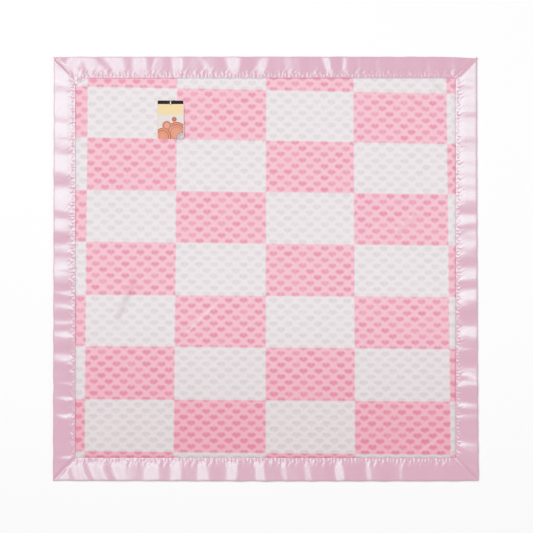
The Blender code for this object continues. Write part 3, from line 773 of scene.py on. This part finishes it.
def tag_print():
    """Front of the coated card: dark header, cream band, plain discs in peach tones."""
    s = Shader("tag_print", 0.42)
    s.set(specular_ior_level=0.09)
    x, y = s.across_and_up()
    width, length = TAG_HIGH.x - TAG_LOW.x, TAG_HIGH.y - TAG_LOW.y
    u = (x - TAG_LOW.x) / width
    v = (TAG_HIGH.y - y) / length
    grain = s.noise(0.0004, 2.0)
    paper = s.mix(grain, (224, 216, 211), (232, 226, 222))
    cream = s.mix(grain, (237, 212, 164), (244, 221, 175))
    header = s.mix(grain, (16, 4, 2), (24, 8, 5))

    ground = s.mix(ease(v, *CREAM_END), cream, paper)
    motif = ground
    for centre_u, centre_v, radius, rim, middle in DISCS:
        offset_x, offset_y = (u - centre_u) * width, (v - centre_v) * length
        distance = np.sqrt(offset_x * offset_x + offset_y * offset_y)
        rings = s.mix(ease(s.math("PINGPONG", distance, RING_STEP), *RING_EDGE), middle, rim)
        disc = s.mix(ease(distance, 0.2 * radius, radius), middle, rings)
        motif = s.mix(ease(distance, radius - DISC_EDGE, radius + DISC_EDGE), disc, motif)
    face = s.mix(s.math("GREATER_THAN", v, DISCS_BELOW), ground, motif)
    face = s.mix(ease(v, *HEADER_END), header, face)

    edge_x = np.minimum(u, 1 - u) * width
    edge_y = np.minimum(v, 1 - v) * length + TAG_EDGE_INSET
    s.colour(ease(np.minimum(edge_x, edge_y), *TAG_PAPER_EDGE), paper, face)
    s.bump(grain, 0.00003, 0.5)
    return s.material


def tag_paper():
    """Bare back and cut edges of the card."""
    return grained(
        "tag_paper", 0.7, 0.0005, 3.0, (222, 216, 212), (233, 228, 225), 0.00004, 0.5,
        specular_ior_level=0.2,
    )


def clear_nylon():
    """Moulded nylon of the tag pin."""
    return grained(
        "clear_nylon", 0.25, 0.002, 2.0, (240, 238, 235), (252, 251, 249), 0.00005, 0.3,
        transmission_weight=0.75, ior=1.5,
    )


# Panels

def shoulder(distance):
    """Share of the full pile at a distance inside the binding's edge."""
    share = np.clip((distance - FIT_GAP) / PLUSH_SHOULDER, 0.0, 1.0)
    return np.sqrt(1 - (1 - share) ** 2) * smooth(distance / PLUSH_TRENCH)


def panel_fullness(x, y, lap=0.0):
    """Share of the full pile over the whole panel."""
    return (
        shoulder(x - INNER_LEFT) * shoulder(INNER_RIGHT - x)
        * shoulder(y - INNER_BOTTOM) * shoulder(INNER_TOP - y - lap)
    )


def seam_tug(x, y):
    """Small dips in the pile where the seam's inner needle holes pull it down."""
    tug = np.zeros_like(x)
    for run, distance in (
        (x, INNER_TOP - y), (x, y - INNER_BOTTOM), (y, x - INNER_LEFT), (y, INNER_RIGHT - x)
    ):
        wander = TUG_WANDER * waves(run, TUG_WANDER_LENGTH, 5)
        pull = 0.5 + 0.5 * np.cos(2 * math.pi * run / STITCH_CYCLE + wander)
        tug += pull * np.exp(-np.clip(distance, 0, None) / TUG_REACH) * (distance > 0)
    return tug


def grid_lines(low, high, cell):
    """Evenly spaced places from low to high."""
    return np.linspace(low, high, round((high - low) / cell) + 1)


def crease_rise(x, y):
    """Height that the creases add to the pile."""
    total = np.zeros_like(x)
    for crease in CREASES:
        half_width, rise, _ = crease[2:]
        off, strength = beside_crease(x, y, crease)
        total += rise * np.exp(-(off / half_width) ** 2) * strength
    return total


def build_front(material):
    """The printed panel: pressed under the binding, full in the middle, hearts a little sunk."""
    xs = grid_lines(FRONT_LOW.x, FRONT_HIGH.x, FRONT_CELL)
    ys = grid_lines(FRONT_LOW.y, FRONT_HIGH.y, FRONT_CELL)
    x, y = np.meshgrid(xs, ys)
    full = panel_fullness(x, y, flap(x))
    pile = FRONT_HIGH.z - FRONT_PRESSED_TOP
    hearts = heart_share(nearest_heart(x / PIXEL + CENTRE_PIXEL_X, CENTRE_PIXEL_Y - y / PIXEL)[0])
    height = FRONT_PRESSED_TOP + pile * full
    height += full * (PLUSH_ROLL * rolls(x, y, PLUSH_ROLL_LENGTH, 11) - HEART_RELIEF * hearts)
    grain = rolls(x, y, PILE_GRAIN_LENGTH, 12, 12)
    height += full * PILE_GRAIN * grain - TUG_DEPTH * full * seam_tug(x, y)
    height += full * crease_rise(x, y)
    panel = slab("plush_front", xs, ys, height, FRONT_LOW.z, material)
    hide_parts("front_panel")
    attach(panel, "blanket")


def build_back(material):
    """The backing, flat on the surface it lies on."""
    xs = grid_lines(BACK_LOW.x, BACK_HIGH.x, BACK_CELL)
    ys = grid_lines(BACK_LOW.y, BACK_HIGH.y, BACK_CELL)
    x, y = np.meshgrid(xs, ys)
    full = panel_fullness(x, y)
    height = BACK_PRESSED_BOTTOM * (1 - full)
    height += BACK_ROLL * np.clip(1 + rolls(x, y, BACK_ROLL_LENGTH, 21), 0.0, None) * full
    panel = slab("plush_back", xs, ys, height, BACK_HIGH.z, material)
    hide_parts("back_panel")
    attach(panel, "blanket")


# Binding

def binding_sides():
    """The four sides, each from its outer corner; the upper and lower ones lap the others."""
    left, right = INNER_LEFT - CAD_LOW.x, CAD_HIGH.x - INNER_RIGHT
    top, bottom = CAD_HIGH.y - INNER_TOP, INNER_BOTTOM - CAD_LOW.y
    width, length = CAD_HIGH.x - CAD_LOW.x, CAD_HIGH.y - CAD_LOW.y
    top_left = Vector((CAD_LOW.x, CAD_HIGH.y, 0))
    top_right = Vector((CAD_HIGH.x, CAD_HIGH.y, 0))
    bottom_left = Vector((CAD_LOW.x, CAD_LOW.y, 0))
    rightwards, leftwards = Vector((1, 0, 0)), Vector((-1, 0, 0))
    upwards, downwards = Vector((0, 1, 0)), Vector((0, -1, 0))
    return (
        Side("top", top_left, rightwards, downwards, width, left, top, right,
             TOP_SLOPES, TOP_STRAY, True, 31, 0.00036, 0.55, 0.25),
        Side("right", top_right, downwards, leftwards, length, top, right, bottom,
             RIGHT_SLOPES, RIGHT_STRAY, False, 32, 0.00016, 0.0, 1.0),
        Side("bottom", bottom_left, rightwards, upwards, width, left, bottom, right,
             BOTTOM_SLOPES, BOTTOM_STRAY, True, 33, 0.00036, 0.0, 1.0),
        Side("left", top_left, downwards, rightwards, length, top, left, bottom,
             LEFT_SLOPES, LEFT_STRAY, False, 34, 0.00024, 0.7, 0.2),
    )


def through_three(values, share):
    """A smooth run through values at the shares 0, 0.5 and 1."""
    outer, middle, inner = values
    at_outer, at_middle = (1 - share) * (1 - 2 * share), 4 * share * (1 - share)
    return at_outer * outer + at_middle * middle + share * (2 * share - 1) * inner


def blur(rows, width):
    """Blur each row with a bell of the given width, in samples."""
    reach = int(3 * width) + 1
    bell = np.exp(-0.5 * (np.arange(-reach, reach + 1) / width) ** 2)
    bell /= bell.sum()
    padded = np.pad(rows, ((0, 0), (reach, reach)), mode="edge")
    return np.stack([np.convolve(row, bell, mode="valid") for row in padded])


RELIEFS = {}


def relief(side):
    """Heights of the main ripples of a side, on a grid across and along it."""
    if side.name in RELIEFS:
        return RELIEFS[side.name]
    places = np.arange(0.0, side.length + RELIEF_STEP, RELIEF_STEP)
    share = np.linspace(0, 1, RELIEF_COLUMNS)[:, None]
    first_pixel = OUTLINE_LEFT if side.laps else OUTLINE_TOP
    slope = np.zeros((RELIEF_COLUMNS, len(places)))
    for row in side.slopes:
        start = (through_three(row[0:3], share) - first_pixel) * PIXEL
        end = (through_three(row[3:6], share) - first_pixel) * PIXEL
        strength = row[6] + (row[7] - row[6]) * (share if row[6] else smooth(2.2 * share - 1.2))
        if side.laps:
            steepness = np.interp(places, (0, side.length), ACROSS_STEEPNESS)
        elif row[7] > 0:
            steepness = np.interp(places, (0, side.length), RISE_STEEPNESS)
        else:
            steepness = FALL_STEEPNESS
        soft = np.maximum(SLOPE_SOFT_SHARE * (end - start), SLOPE_SOFT_LEAST[side.laps])
        inside, skirt = (
            smooth((places - start) / reach + 0.5) * smooth((end - places) / reach + 0.5)
            for reach in (soft, soft + SKIRT_REACH)
        )
        slope += strength * np.maximum(inside, SKIRT_SHARE[side.laps] * skirt) * steepness
    across_it = side.width * share
    still = 0 * slope
    along_it = places[None, :]
    mottle = rolls(along_it + 0.3 * across_it, 0.35 * across_it + still, MOTTLE_LENGTH, side.seed + 80)
    drift = rolls(along_it + 0.5 * across_it, 0.5 * across_it + still, DRIFT_LENGTH, side.seed + 81)
    slope *= 1 + SLOPE_MOTTLE * mottle
    slope += SLOPE_DRIFT[side.laps] * drift
    height = np.cumsum(slope, axis=1) * RELIEF_STEP
    height -= blur(height, RIPPLE_REACH / RELIEF_STEP)
    RELIEFS[side.name] = height
    return height


def ripple(side, place, inset):
    """Height of the main ripples at distances along the side and from its fold."""
    grid = relief(side)
    column = np.clip(inset / side.width, 0, 1) * (RELIEF_COLUMNS - 1)
    sample = np.clip(place / RELIEF_STEP, 0, grid.shape[1] - 1.001)
    row = np.minimum(column.astype(int), RELIEF_COLUMNS - 2)
    at = sample.astype(int)
    part, share = sample - at, column - row
    near, far = (grid[line, at] * (1 - part) + grid[line, at + 1] * part for line in (row, row + 1))
    return near * (1 - share) + far * share


def flap(x):
    """How far the upper satin laps over the panel's upper left corner at each x."""
    return FLAP_DEPTH * np.clip(1 - (x - INNER_LEFT) / FLAP_LENGTH, 0.0, 1.0) ** FLAP_POWER


def stray(side, place, inset):
    """How far the cloth lies outside the straight outline, dying away towards the seam."""
    shares, distances = zip(*side.stray)
    at = np.interp(place / side.length, shares, distances)
    at = at + STRAY_WAVE * waves(place, STRAY_WAVE_LENGTH, side.seed + 50)
    return at * np.clip(1 - inset / side.width, 0, 1)


def mitre_distance(side, place, inset):
    """Distance from the nearer mitre, negative past it."""
    start = place - inset * side.before / side.width
    end = side.length - place - inset * side.after / side.width
    return np.minimum(start, end) * MITRE_SLANT


def seam_run(side):
    """Where a side's seam starts, how long it is and how many half cycles it has."""
    start = side.before + STITCH_FROM_CORNER
    span = side.length - side.after - STITCH_FROM_CORNER - start
    return start, span, 2 * round(span / STITCH_CYCLE)


def zigzag(side, place):
    """Distance of the seam's thread from the inner edge, length of a half cycle, and phase."""
    start, span, halves = seam_run(side)
    half = span / halves
    phase = (place - start) / half
    swing = np.abs((phase % 2) - 1)
    return STITCH_FROM_EDGE + STITCH_WIDTH * (1 - swing), half, phase


def bell(distance, reach):
    """1 at no distance, dying away over the reach."""
    return np.exp(-(distance / reach) ** 2)


def satin_rise(side, place, inset):
    """Height of the upper satin over its base: ripples, wrinkles and the pull of the seam."""
    seed = side.seed
    from_edge = side.width - inset
    near_mitre = smooth((mitre_distance(side, place, inset) + 0.001) / RIPPLE_MITRE_FADE)
    seam_fade = smooth(from_edge / RIPPLE_SEAM_FADE)
    lifted = RIPPLE_LIFT * smooth(from_edge / LIFT_SEAM_FADE) + ripple(side, place, inset) * seam_fade
    rise = 0.5 * (lifted + np.sqrt(lifted ** 2 + (RIPPLE_LEAST * seam_fade) ** 2)) * near_mitre
    slant = WRINKLE_SLANT * waves(inset, WRINKLE_SLANT_LENGTH, seed)
    fine = waves(place + slant, WRINKLE_LENGTH, seed + 10, 6)
    rise += WRINKLE[side.laps] * fine * bell(from_edge - WRINKLE_PLACE, WRINKLE_REACH) * near_mitre
    rise += SWELL * waves(place, SWELL_LENGTH, seed + 60) * seam_fade * near_mitre
    if side.name in ("top", "left"):
        corner_along = (place - side.before) / CORNER_CRUSH_REACH[0]
        corner_across = (from_edge - CORNER_CRUSH_PLACE) / CORNER_CRUSH_REACH[1]
        corner = np.exp(-(corner_along ** 2 + corner_across ** 2))
        rise += CORNER_CRUSH * corner * rolls(place, inset, CORNER_CRUSH_LENGTH, seed + 70)

    thread_at, half, phase = zigzag(side, place)
    stitched = (phase > 0) & (phase < (side.length - side.before - side.after) / half)
    seam = -GROOVE_DEPTH * bell(from_edge - thread_at, GROOVE_REACH) * stitched
    wander = PUCKER_WANDER * waves(place, PUCKER_WANDER_LENGTH, seed + 21)
    pucker = np.cos(2 * math.pi * phase + wander)
    pucker *= PUCKER_LEAST + PUCKER_SPREAD * waves(place, PUCKER_LENGTH, seed + 20)
    pucker *= 1 - side.calmer * smooth((place / side.length - CALMER_FROM) / side.calmer_over)
    tug = side.tug * pucker * bell(from_edge - TUG_PLACE, TUG_HALF_WIDTH) * near_mitre
    return rise + seam + tug


def upper_level(side, place, inset):
    """Height of the satin's upper face."""
    from_edge = side.width - inset
    to_nose = 1 - np.clip(from_edge / INNER_EDGE_RADIUS, 0, 1)
    edge_drop = INNER_EDGE_RADIUS * (1 - np.sqrt(np.clip(1 - to_nose ** 2, 0, 1)))
    loft_up = SATIN_LOFT * smooth((from_edge - HEM_WIDTH) / LOFT_REACH)
    outer = np.clip((OUTER_FOLD_REACH - inset) / OUTER_FOLD_REACH, 0, 1)
    level = UPPER_HEM_TOP + loft_up - edge_drop + satin_rise(side, place, inset)
    level -= (level - OUTER_FOLD_HEIGHT) * OUTER_FOLD_PULL * outer ** OUTER_FOLD_POWER
    near = mitre_distance(side, place, inset)
    if side.laps:
        return level + MITRE_RIDGE * bell(near - MITRE_RIDGE_PLACE, MITRE_RIDGE_REACH)
    return level - MITRE_DIP * bell(np.clip(near, 0, None), MITRE_DIP_REACH)


def side_points(side, place, inset, level):
    """World points from distances along and across a side and heights."""
    corner, along, inwards = (np.array(v) for v in (side.corner, side.along, side.inwards))
    outwards = stray(side, place, inset)
    if side.name == "top":
        outwards = outwards - flap(place + CAD_LOW.x) * smooth((inset / side.width - 0.5) / 0.5)
    points = corner + place[..., None] * along + (inset - outwards)[..., None] * inwards
    points[..., 2] = level
    return points


def build_binding(side, material):
    """One side of the satin, folded over the edge with both inner edges turned under."""
    width = side.width
    hem = width - HEM_WIDTH
    before_hem = hem - HEM_STEP
    upper_inset = width - np.concatenate([
        (0.0, 0.00015), np.arange(0.0, 0.012, 0.0008)[1:], np.arange(0.012, width - 0.004, 0.0016),
        width - np.array((0.0030, 0.0019, 0.0012, 0.0008)),
    ])
    under_inset = np.array([0.002, 0.004, 0.008, 0.012, 0.018, hem - 0.004, hem, width - 0.004, width])
    inner_under = np.array([width, width - 0.004, hem, before_hem, 0.012, 0.004, INNER_FROM_FOLD])
    inner_upper = np.concatenate([
        (INNER_FROM_FOLD, 0.004, 0.008), np.arange(0.012, before_hem, 0.003),
        (before_hem, hem, width - 0.004, width),
    ])

    distance = np.linspace(0.0, side.length, round(side.length / SATIN_CELL) + 1)
    close = np.array([0.0004, 0.0009, 0.0016, 0.0025])
    distance = np.unique(np.concatenate([distance, close, side.length - close]))[:, None]
    cut = MITRE_LAP[side.laps]

    def station(inset):
        """Distances along the side for every station at these insets."""
        start_cut = inset * side.before / side.width + cut
        end_cut = inset * side.after / side.width + cut
        start_pull = np.clip(1 - distance / MITRE_SHEAR_REACH, 0, None)
        end_pull = np.clip(1 - (side.length - distance) / MITRE_SHEAR_REACH, 0, None)
        return distance + start_pull * start_cut[None] - end_pull * end_cut[None]

    def level_of(inset, place, kind):
        """Heights of a run of the section."""
        if kind == "upper":
            return upper_level(side, place, inset)
        if kind == "fold":
            first = place[:, :1]
            top = upper_level(side, first, np.full_like(first, OUTER_FOLD_TOP_INSET))
            return top * np.array(OUTER_FOLD_LEVELS)[None]
        ply = np.where(inset > hem - 0.0001, HEM_THICKNESS, SATIN_THICKNESS)
        if kind == "upper_inside":
            return upper_level(side, place, np.minimum(inset, width - 0.0006)) - ply
        rise = LOWER_HEM_BOTTOM * smooth((inset - (hem - LOFT_REACH)) / LOFT_REACH)
        if kind == "under_inside":
            return rise + ply + UNDERSIDE_ROLL
        roll = UNDERSIDE_ROLL * (1 + waves(place, UNDERSIDE_ROLL_LENGTH, side.seed + 40))
        return rise + roll * smooth(inset / UNDERSIDE_FADE) * smooth((width - inset) / UNDERSIDE_FADE)

    runs, uvs = [], []
    for number, (inset, kind) in enumerate((
        (upper_inset, "upper"), (np.array(OUTER_FOLD_INSETS), "fold"), (under_inset, "under"),
        (inner_under, "under_inside"), (inner_upper, "upper_inside"),
    )):
        place = station(inset)
        inset = np.broadcast_to(inset[None], place.shape)
        runs.append(side_points(side, place, inset, level_of(inset, place, kind)))
        unrolled = (number + np.linspace(0, 1, place.shape[1])) * width
        uvs.append(np.stack(np.broadcast_arrays(place, unrolled[None]), axis=-1))
    strip = loft(
        f"satin_{side.name}", np.concatenate(runs, axis=1), material, np.concatenate(uvs, axis=1)
    )
    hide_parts(f"binding_{side.name}")
    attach(strip, "blanket")
    mean_length = side.length - (side.before + side.after) / 2
    ribbon = 2 * (side.width + HEM_WIDTH)
    mean_length * ribbon * 0.985


# Seams

def build_seam(side, material):
    """Needle and bobbin stitches of one side's zigzag."""
    start, span, halves = seam_run(side)
    stitches = halves * STITCHES_IN_HALF_CYCLE
    ends = start + span * np.arange(stitches + 1) / stitches
    share = np.linspace(0, 1, STITCH_POINTS)
    arch = THREAD_RADIUS * (STITCH_ARCH * np.sin(math.pi * share) - STITCH_SINK)
    front, back = [], []
    for begin, finish in zip(ends, ends[1:]):
        place = begin + (finish - begin) * (STITCH_GAP + (1 - 2 * STITCH_GAP) * share)
        inset = side.width - zigzag(side, place)[0]
        front.append(side_points(side, place, inset, upper_level(side, place, inset) + arch))
        back.append(side_points(side, place, inset, LOWER_HEM_BOTTOM - arch))
    for name, paths in (("needle", front), ("bobbin", back)):
        seam = tube_group(f"{name}_stitches_{side.name}", paths, THREAD_RADIUS, material)
        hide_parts(f"{name}_thread_{side.name}")
        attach(seam, "blanket")


# Hang tag

def pin_place():
    """Where the pin stands, seen from above."""
    return (PIN_LOW.x + PIN_HIGH.x) / 2, PIN_LOW.y + PIN_PADDLE_OVERHANG


def tag_outline():
    """Points round the card, corners rounded."""
    radius = TAG_CORNER_RADIUS
    places = []
    for corner_x, corner_y, first in (
        (TAG_HIGH.x - radius, TAG_HIGH.y - radius, 0.0), (TAG_LOW.x + radius, TAG_HIGH.y - radius, 0.5),
        (TAG_LOW.x + radius, TAG_LOW.y + radius, 1.0), (TAG_HIGH.x - radius, TAG_LOW.y + radius, 1.5),
    ):
        for share in np.linspace(0, 0.5, TAG_CORNER_POINTS):
            angle = math.pi * (first + share)
            places.append((corner_x + radius * math.cos(angle), corner_y + radius * math.sin(angle)))
    points = []
    for (x, y), (next_x, next_y) in zip(places, places[1:] + places[:1]):
        pieces = max(1, round(math.hypot(next_x - x, next_y - y) / TAG_EDGE_STEP))
        points += [(x + (next_x - x) * k / pieces, y + (next_y - y) * k / pieces) for k in range(pieces)]
    return np.array(points)


def tag_curl(x, y):
    """How far the card has curled up from the plush: its right side and lower right corner."""
    u = (x - TAG_LOW.x) / (TAG_HIGH.x - TAG_LOW.x)
    v = (TAG_HIGH.y - y) / (TAG_HIGH.y - TAG_LOW.y)
    side = (np.clip(u - TAG_SIDE_CURL_FROM, 0, None) / (1 - TAG_SIDE_CURL_FROM)) ** 2 * smooth(v / 0.5)
    corner = np.clip(0.35 * u + 0.65 * v - TAG_CORNER_CURL_FROM, 0, None) / (1 - TAG_CORNER_CURL_FROM)
    return TAG_SIDE_CURL * side + TAG_CORNER_CURL * corner ** 2


def build_tag(front, back):
    """The card, with round corners, a hole and a slight curl."""
    pin = np.array(pin_place())
    outer = tag_outline()
    towards = outer - pin
    hole = pin + TAG_HOLE_RADIUS * towards / np.linalg.norm(towards, axis=1)[:, None]
    top, bottom, rounding = TAG_HIGH.z, TAG_LOW.z, TAG_EDGE_ROUNDING
    shares = np.concatenate([[0.004, 0.03], np.linspace(0.08, 0.97, TAG_RINGS), [0.997]])
    up_the_hole, down_the_edge = (0.0, top - rounding), (1.0, top - rounding)
    levels = [up_the_hole] + [(share, top) for share in shares] + [down_the_edge]
    levels += [(1.0, bottom + rounding)] + [(share, bottom) for share in shares[::-1]]
    levels += [(0.0, bottom + rounding)]
    rings = []
    for share, level in levels:
        plan = hole * (1 - share) + outer * share
        rings.append(np.column_stack([plan, level + tag_curl(plan[:, 0], plan[:, 1])]))
    card = loft("tag_card", np.array(rings), front, round_hole=True)
    card.data.materials.append(back)
    printed = len(shares)
    sides = np.repeat([[0 if 1 <= k <= printed - 1 else 1] for k in range(len(levels))], len(outer))
    card.data.polygons.foreach_set("material_index", sides.astype(np.int32))
    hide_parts("hang_tag")
    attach(card, "hang_tag")


def round_rod(name, centres, radii, across_one, across_two, material, sides=16):
    """A rod through centres, each with its radius."""
    angles = 2 * math.pi * np.arange(sides)[:, None] / sides
    one, two = np.array(across_one, dtype=float), np.array(across_two, dtype=float)
    rings = [
        np.array(centre) + np.cos(angles) * one * radius + np.sin(angles) * two * radius
        for centre, radius in zip(centres, radii)
    ]
    return loft(name, np.array(rings), material, smooth_angle=50)


def build_pin(material):
    """Clear nylon: a bar behind the panel, a filament through it, a paddle on the card."""
    x, y = pin_place()
    bar_level = PIN_LOW.z + PIN_BAR_RADIUS
    paddle_level = PIN_HIGH.z - PIN_PADDLE_THICKNESS / 2
    panel_top = FRONT_HIGH.z
    ends = np.array([0.0, 0.04, 0.14, 0.32, 0.6, 1.0])
    rounding = np.sqrt(1 - (1 - ends) ** 2) * 0.92 + 0.08

    def rounded(middle, power=1.0):
        """A profile with rounded ends."""
        return np.concatenate([rounding ** power, middle, rounding[::-1] ** power])

    half = (PIN_HIGH.x - PIN_LOW.x) / 2
    cap = half - ends * PIN_BAR_RADIUS
    run = np.concatenate([-cap, [-half / 2, -0.0008, 0.0, 0.0008, half / 2], cap[::-1]])
    bar = round_rod(
        "pin_bar", [(x + step, y, bar_level) for step in run],
        PIN_BAR_RADIUS * rounded([1.0, 0.96, 0.92, 0.96, 1.0]), (0, 1, 0), (0, 0, 1), material,
    )
    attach(bar, "tag_pin")

    rise = np.linspace(bar_level, panel_top, 8)
    lower = round_rod(
        "pin_shank", [(x, y, level) for level in rise],
        PIN_FILAMENT_RADIUS * (1 + PIN_FOOT * np.exp(-(rise - bar_level) / PIN_FOOT_REACH)),
        (1, 0, 0), (0, 1, 0), material,
    )
    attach(lower, "tag_pin")

    length = PIN_HIGH.y - PIN_LOW.y
    cap = ends * PIN_PADDLE_END
    run = np.concatenate([cap, np.linspace(0.0014, length - 0.0014, 9), length - cap[::-1]])
    wide = PIN_PADDLE_WIDTH / 2 * rounded(1 - PIN_PADDLE_WAIST * np.sin(np.linspace(0, math.pi, 9)))
    tall = PIN_PADDLE_THICKNESS / 2 * rounded(np.ones(9), 0.5)
    angles = 2 * math.pi * np.arange(24) / 24
    square_x, square_z = (
        np.sign(swing) * np.abs(swing) ** PIN_PADDLE_SQUARENESS
        for swing in (np.cos(angles), np.sin(angles))
    )
    rings = [
        np.column_stack([
            x + half_wide * square_x, np.full(24, PIN_LOW.y + step), paddle_level + half_tall * square_z
        ])
        for step, half_wide, half_tall in zip(run, wide, tall)
    ]
    paddle = loft("pin_paddle", np.array(rings), material, smooth_angle=50)
    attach(paddle, "hang_tag")

    rise = np.linspace(panel_top - 0.0004, paddle_level + 0.0001, PIN_FLEX_RINGS)
    flexing = round_rod(
        "pin_filament", [(x, y, level) for level in rise], np.full(len(rise), PIN_FILAMENT_RADIUS),
        (1, 0, 0), (0, 1, 0), material,
    )
    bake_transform(flexing)
    for piece in (bar, lower, paddle, flexing):
        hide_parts("tag_pin")


# Stage

def seen_directly(tree):
    """1 for a ray from the camera, a reflection or through something clear, otherwise 0."""
    path = tree.nodes.new("ShaderNodeLightPath")
    share = path.outputs["Is Camera Ray"]
    for name in ("Is Glossy Ray", "Is Transmission Ray"):
        either = tree.nodes.new("ShaderNodeMath")
        either.operation = "MAXIMUM"
        tree.links.new(share, either.inputs[0])
        tree.links.new(path.outputs[name], either.inputs[1])
        share = either.outputs[0]
    return share


def add_stage():
    """White floor that shows as white and keeps the blanket's shadow."""
    mesh = bpy.data.meshes.new("floor")
    mesh.from_pydata(
        [(FLOOR_REACH * x, FLOOR_REACH * y, FLOOR_LEVEL) for x, y in ((-1, -1), (1, -1), (1, 1), (-1, 1))],
        [], [(0, 1, 2, 3)],
    )
    material = bpy.data.materials.new("floor")
    material.use_nodes = True
    tree = material.node_tree
    principled = tree.nodes["Principled BSDF"]
    principled.inputs["Base Color"].default_value = (0.99, 0.99, 0.99, 1)
    principled.inputs["Roughness"].default_value = 0.9
    principled.inputs["Specular IOR Level"].default_value = 0.0
    glow = tree.nodes.new("ShaderNodeEmission")
    glow.inputs["Strength"].default_value = 1.0
    share = tree.nodes.new("ShaderNodeMath")
    share.operation = "MULTIPLY"
    share.inputs[1].default_value = FLOOR_GLOW
    tree.links.new(seen_directly(tree), share.inputs[0])
    mix = tree.nodes.new("ShaderNodeMixShader")
    tree.links.new(share.outputs[0], mix.inputs[0])
    tree.links.new(principled.outputs[0], mix.inputs[1])
    tree.links.new(glow.outputs[0], mix.inputs[2])
    tree.links.new(mix.outputs[0], tree.nodes["Material Output"].inputs["Surface"])
    floor = new_object("floor", mesh, material)


def add_world():
    """Even pale light from all round, white to the camera."""
    world = bpy.data.worlds.new("studio")
    bpy.context.scene.world = world
    world.use_nodes = True
    tree = world.node_tree
    background = tree.nodes["Background"]
    strength = tree.nodes.new("ShaderNodeMix")
    strength.data_type = "FLOAT"
    strength.inputs[2].default_value = WORLD_LEVEL
    strength.inputs[3].default_value = 1.0
    tree.links.new(seen_directly(tree), strength.inputs[0])
    tree.links.new(strength.outputs[0], background.inputs["Strength"])
    background.inputs["Color"].default_value = (1, 1, 1, 1)


def add_area(name, place, length, depth, power, slide=0.0):
    """A soft box that faces the blanket's centre from a place, slid along its depth from there."""
    light = bpy.data.lights.new(name, "AREA")
    light.shape = "RECTANGLE"
    light.size = length
    light.size_y = depth
    light.energy = power
    item = bpy.data.objects.new(name, light)
    turn = (-Vector(place)).to_track_quat("-Z", "Y")
    item.location = Vector(place) + turn @ Vector((0, slide, 0))
    item.rotation_euler = turn.to_euler()
    bpy.context.scene.collection.objects.link(item)
    return item


def add_camera():
    """Straight above, framed as the photograph."""
    camera = bpy.data.cameras.new("camera")
    camera.lens = 200
    camera.sensor_width = 36
    item = bpy.data.objects.new("camera", camera)
    view_width = PHOTO_SIZE * PIXEL
    distance = view_width / 2 / math.tan(math.atan(camera.sensor_width / 2 / camera.lens))
    item.location = (across(PHOTO_SIZE / 2), upward(PHOTO_SIZE / 2), distance)
    bpy.context.scene.collection.objects.link(item)
    bpy.context.scene.camera = item


def add_lamps():
    """The key, in two parts and a veil that the satin doesn't mirror, and a weak fill."""
    far_depth = KEY_DEPTH - KEY_NEAR_DEPTH
    near_power = KEY_NEAR_SHINE * KEY_POWER * KEY_NEAR_DEPTH / KEY_DEPTH
    far_power = KEY_FAR_SHINE * KEY_POWER * far_depth / KEY_DEPTH
    veil_power = KEY_POWER - near_power - far_power
    add_area("key_near", KEY_PLACE, KEY_WIDTH, KEY_NEAR_DEPTH, near_power, far_depth / 2)
    add_area("key_far", KEY_PLACE, KEY_WIDTH, far_depth, far_power, -KEY_NEAR_DEPTH / 2)
    veil = add_area("key_veil", KEY_PLACE, KEY_WIDTH, far_depth, veil_power, -KEY_NEAR_DEPTH / 2)
    veil.location.z += VEIL_LIFT
    fill = add_area("fill", FILL_PLACE, FILL_WIDTH, FILL_WIDTH, FILL_POWER)
    veil.visible_glossy = fill.visible_glossy = False


def main():
    """Dress the blanket and light it."""
    add_camera()
    plush, backing = printed_plush(), plain_plush()
    ribbon, thread = satin(), sewing_thread()
    build_front(plush)
    build_back(backing)
    for side in binding_sides():
        build_binding(side, ribbon)
        build_seam(side, thread)
    build_tag(tag_print(), tag_paper())
    build_pin(clear_nylon())
    add_stage()
    add_world()
    add_lamps()
    bpy.context.scene.view_settings.view_transform = "Standard"


main()
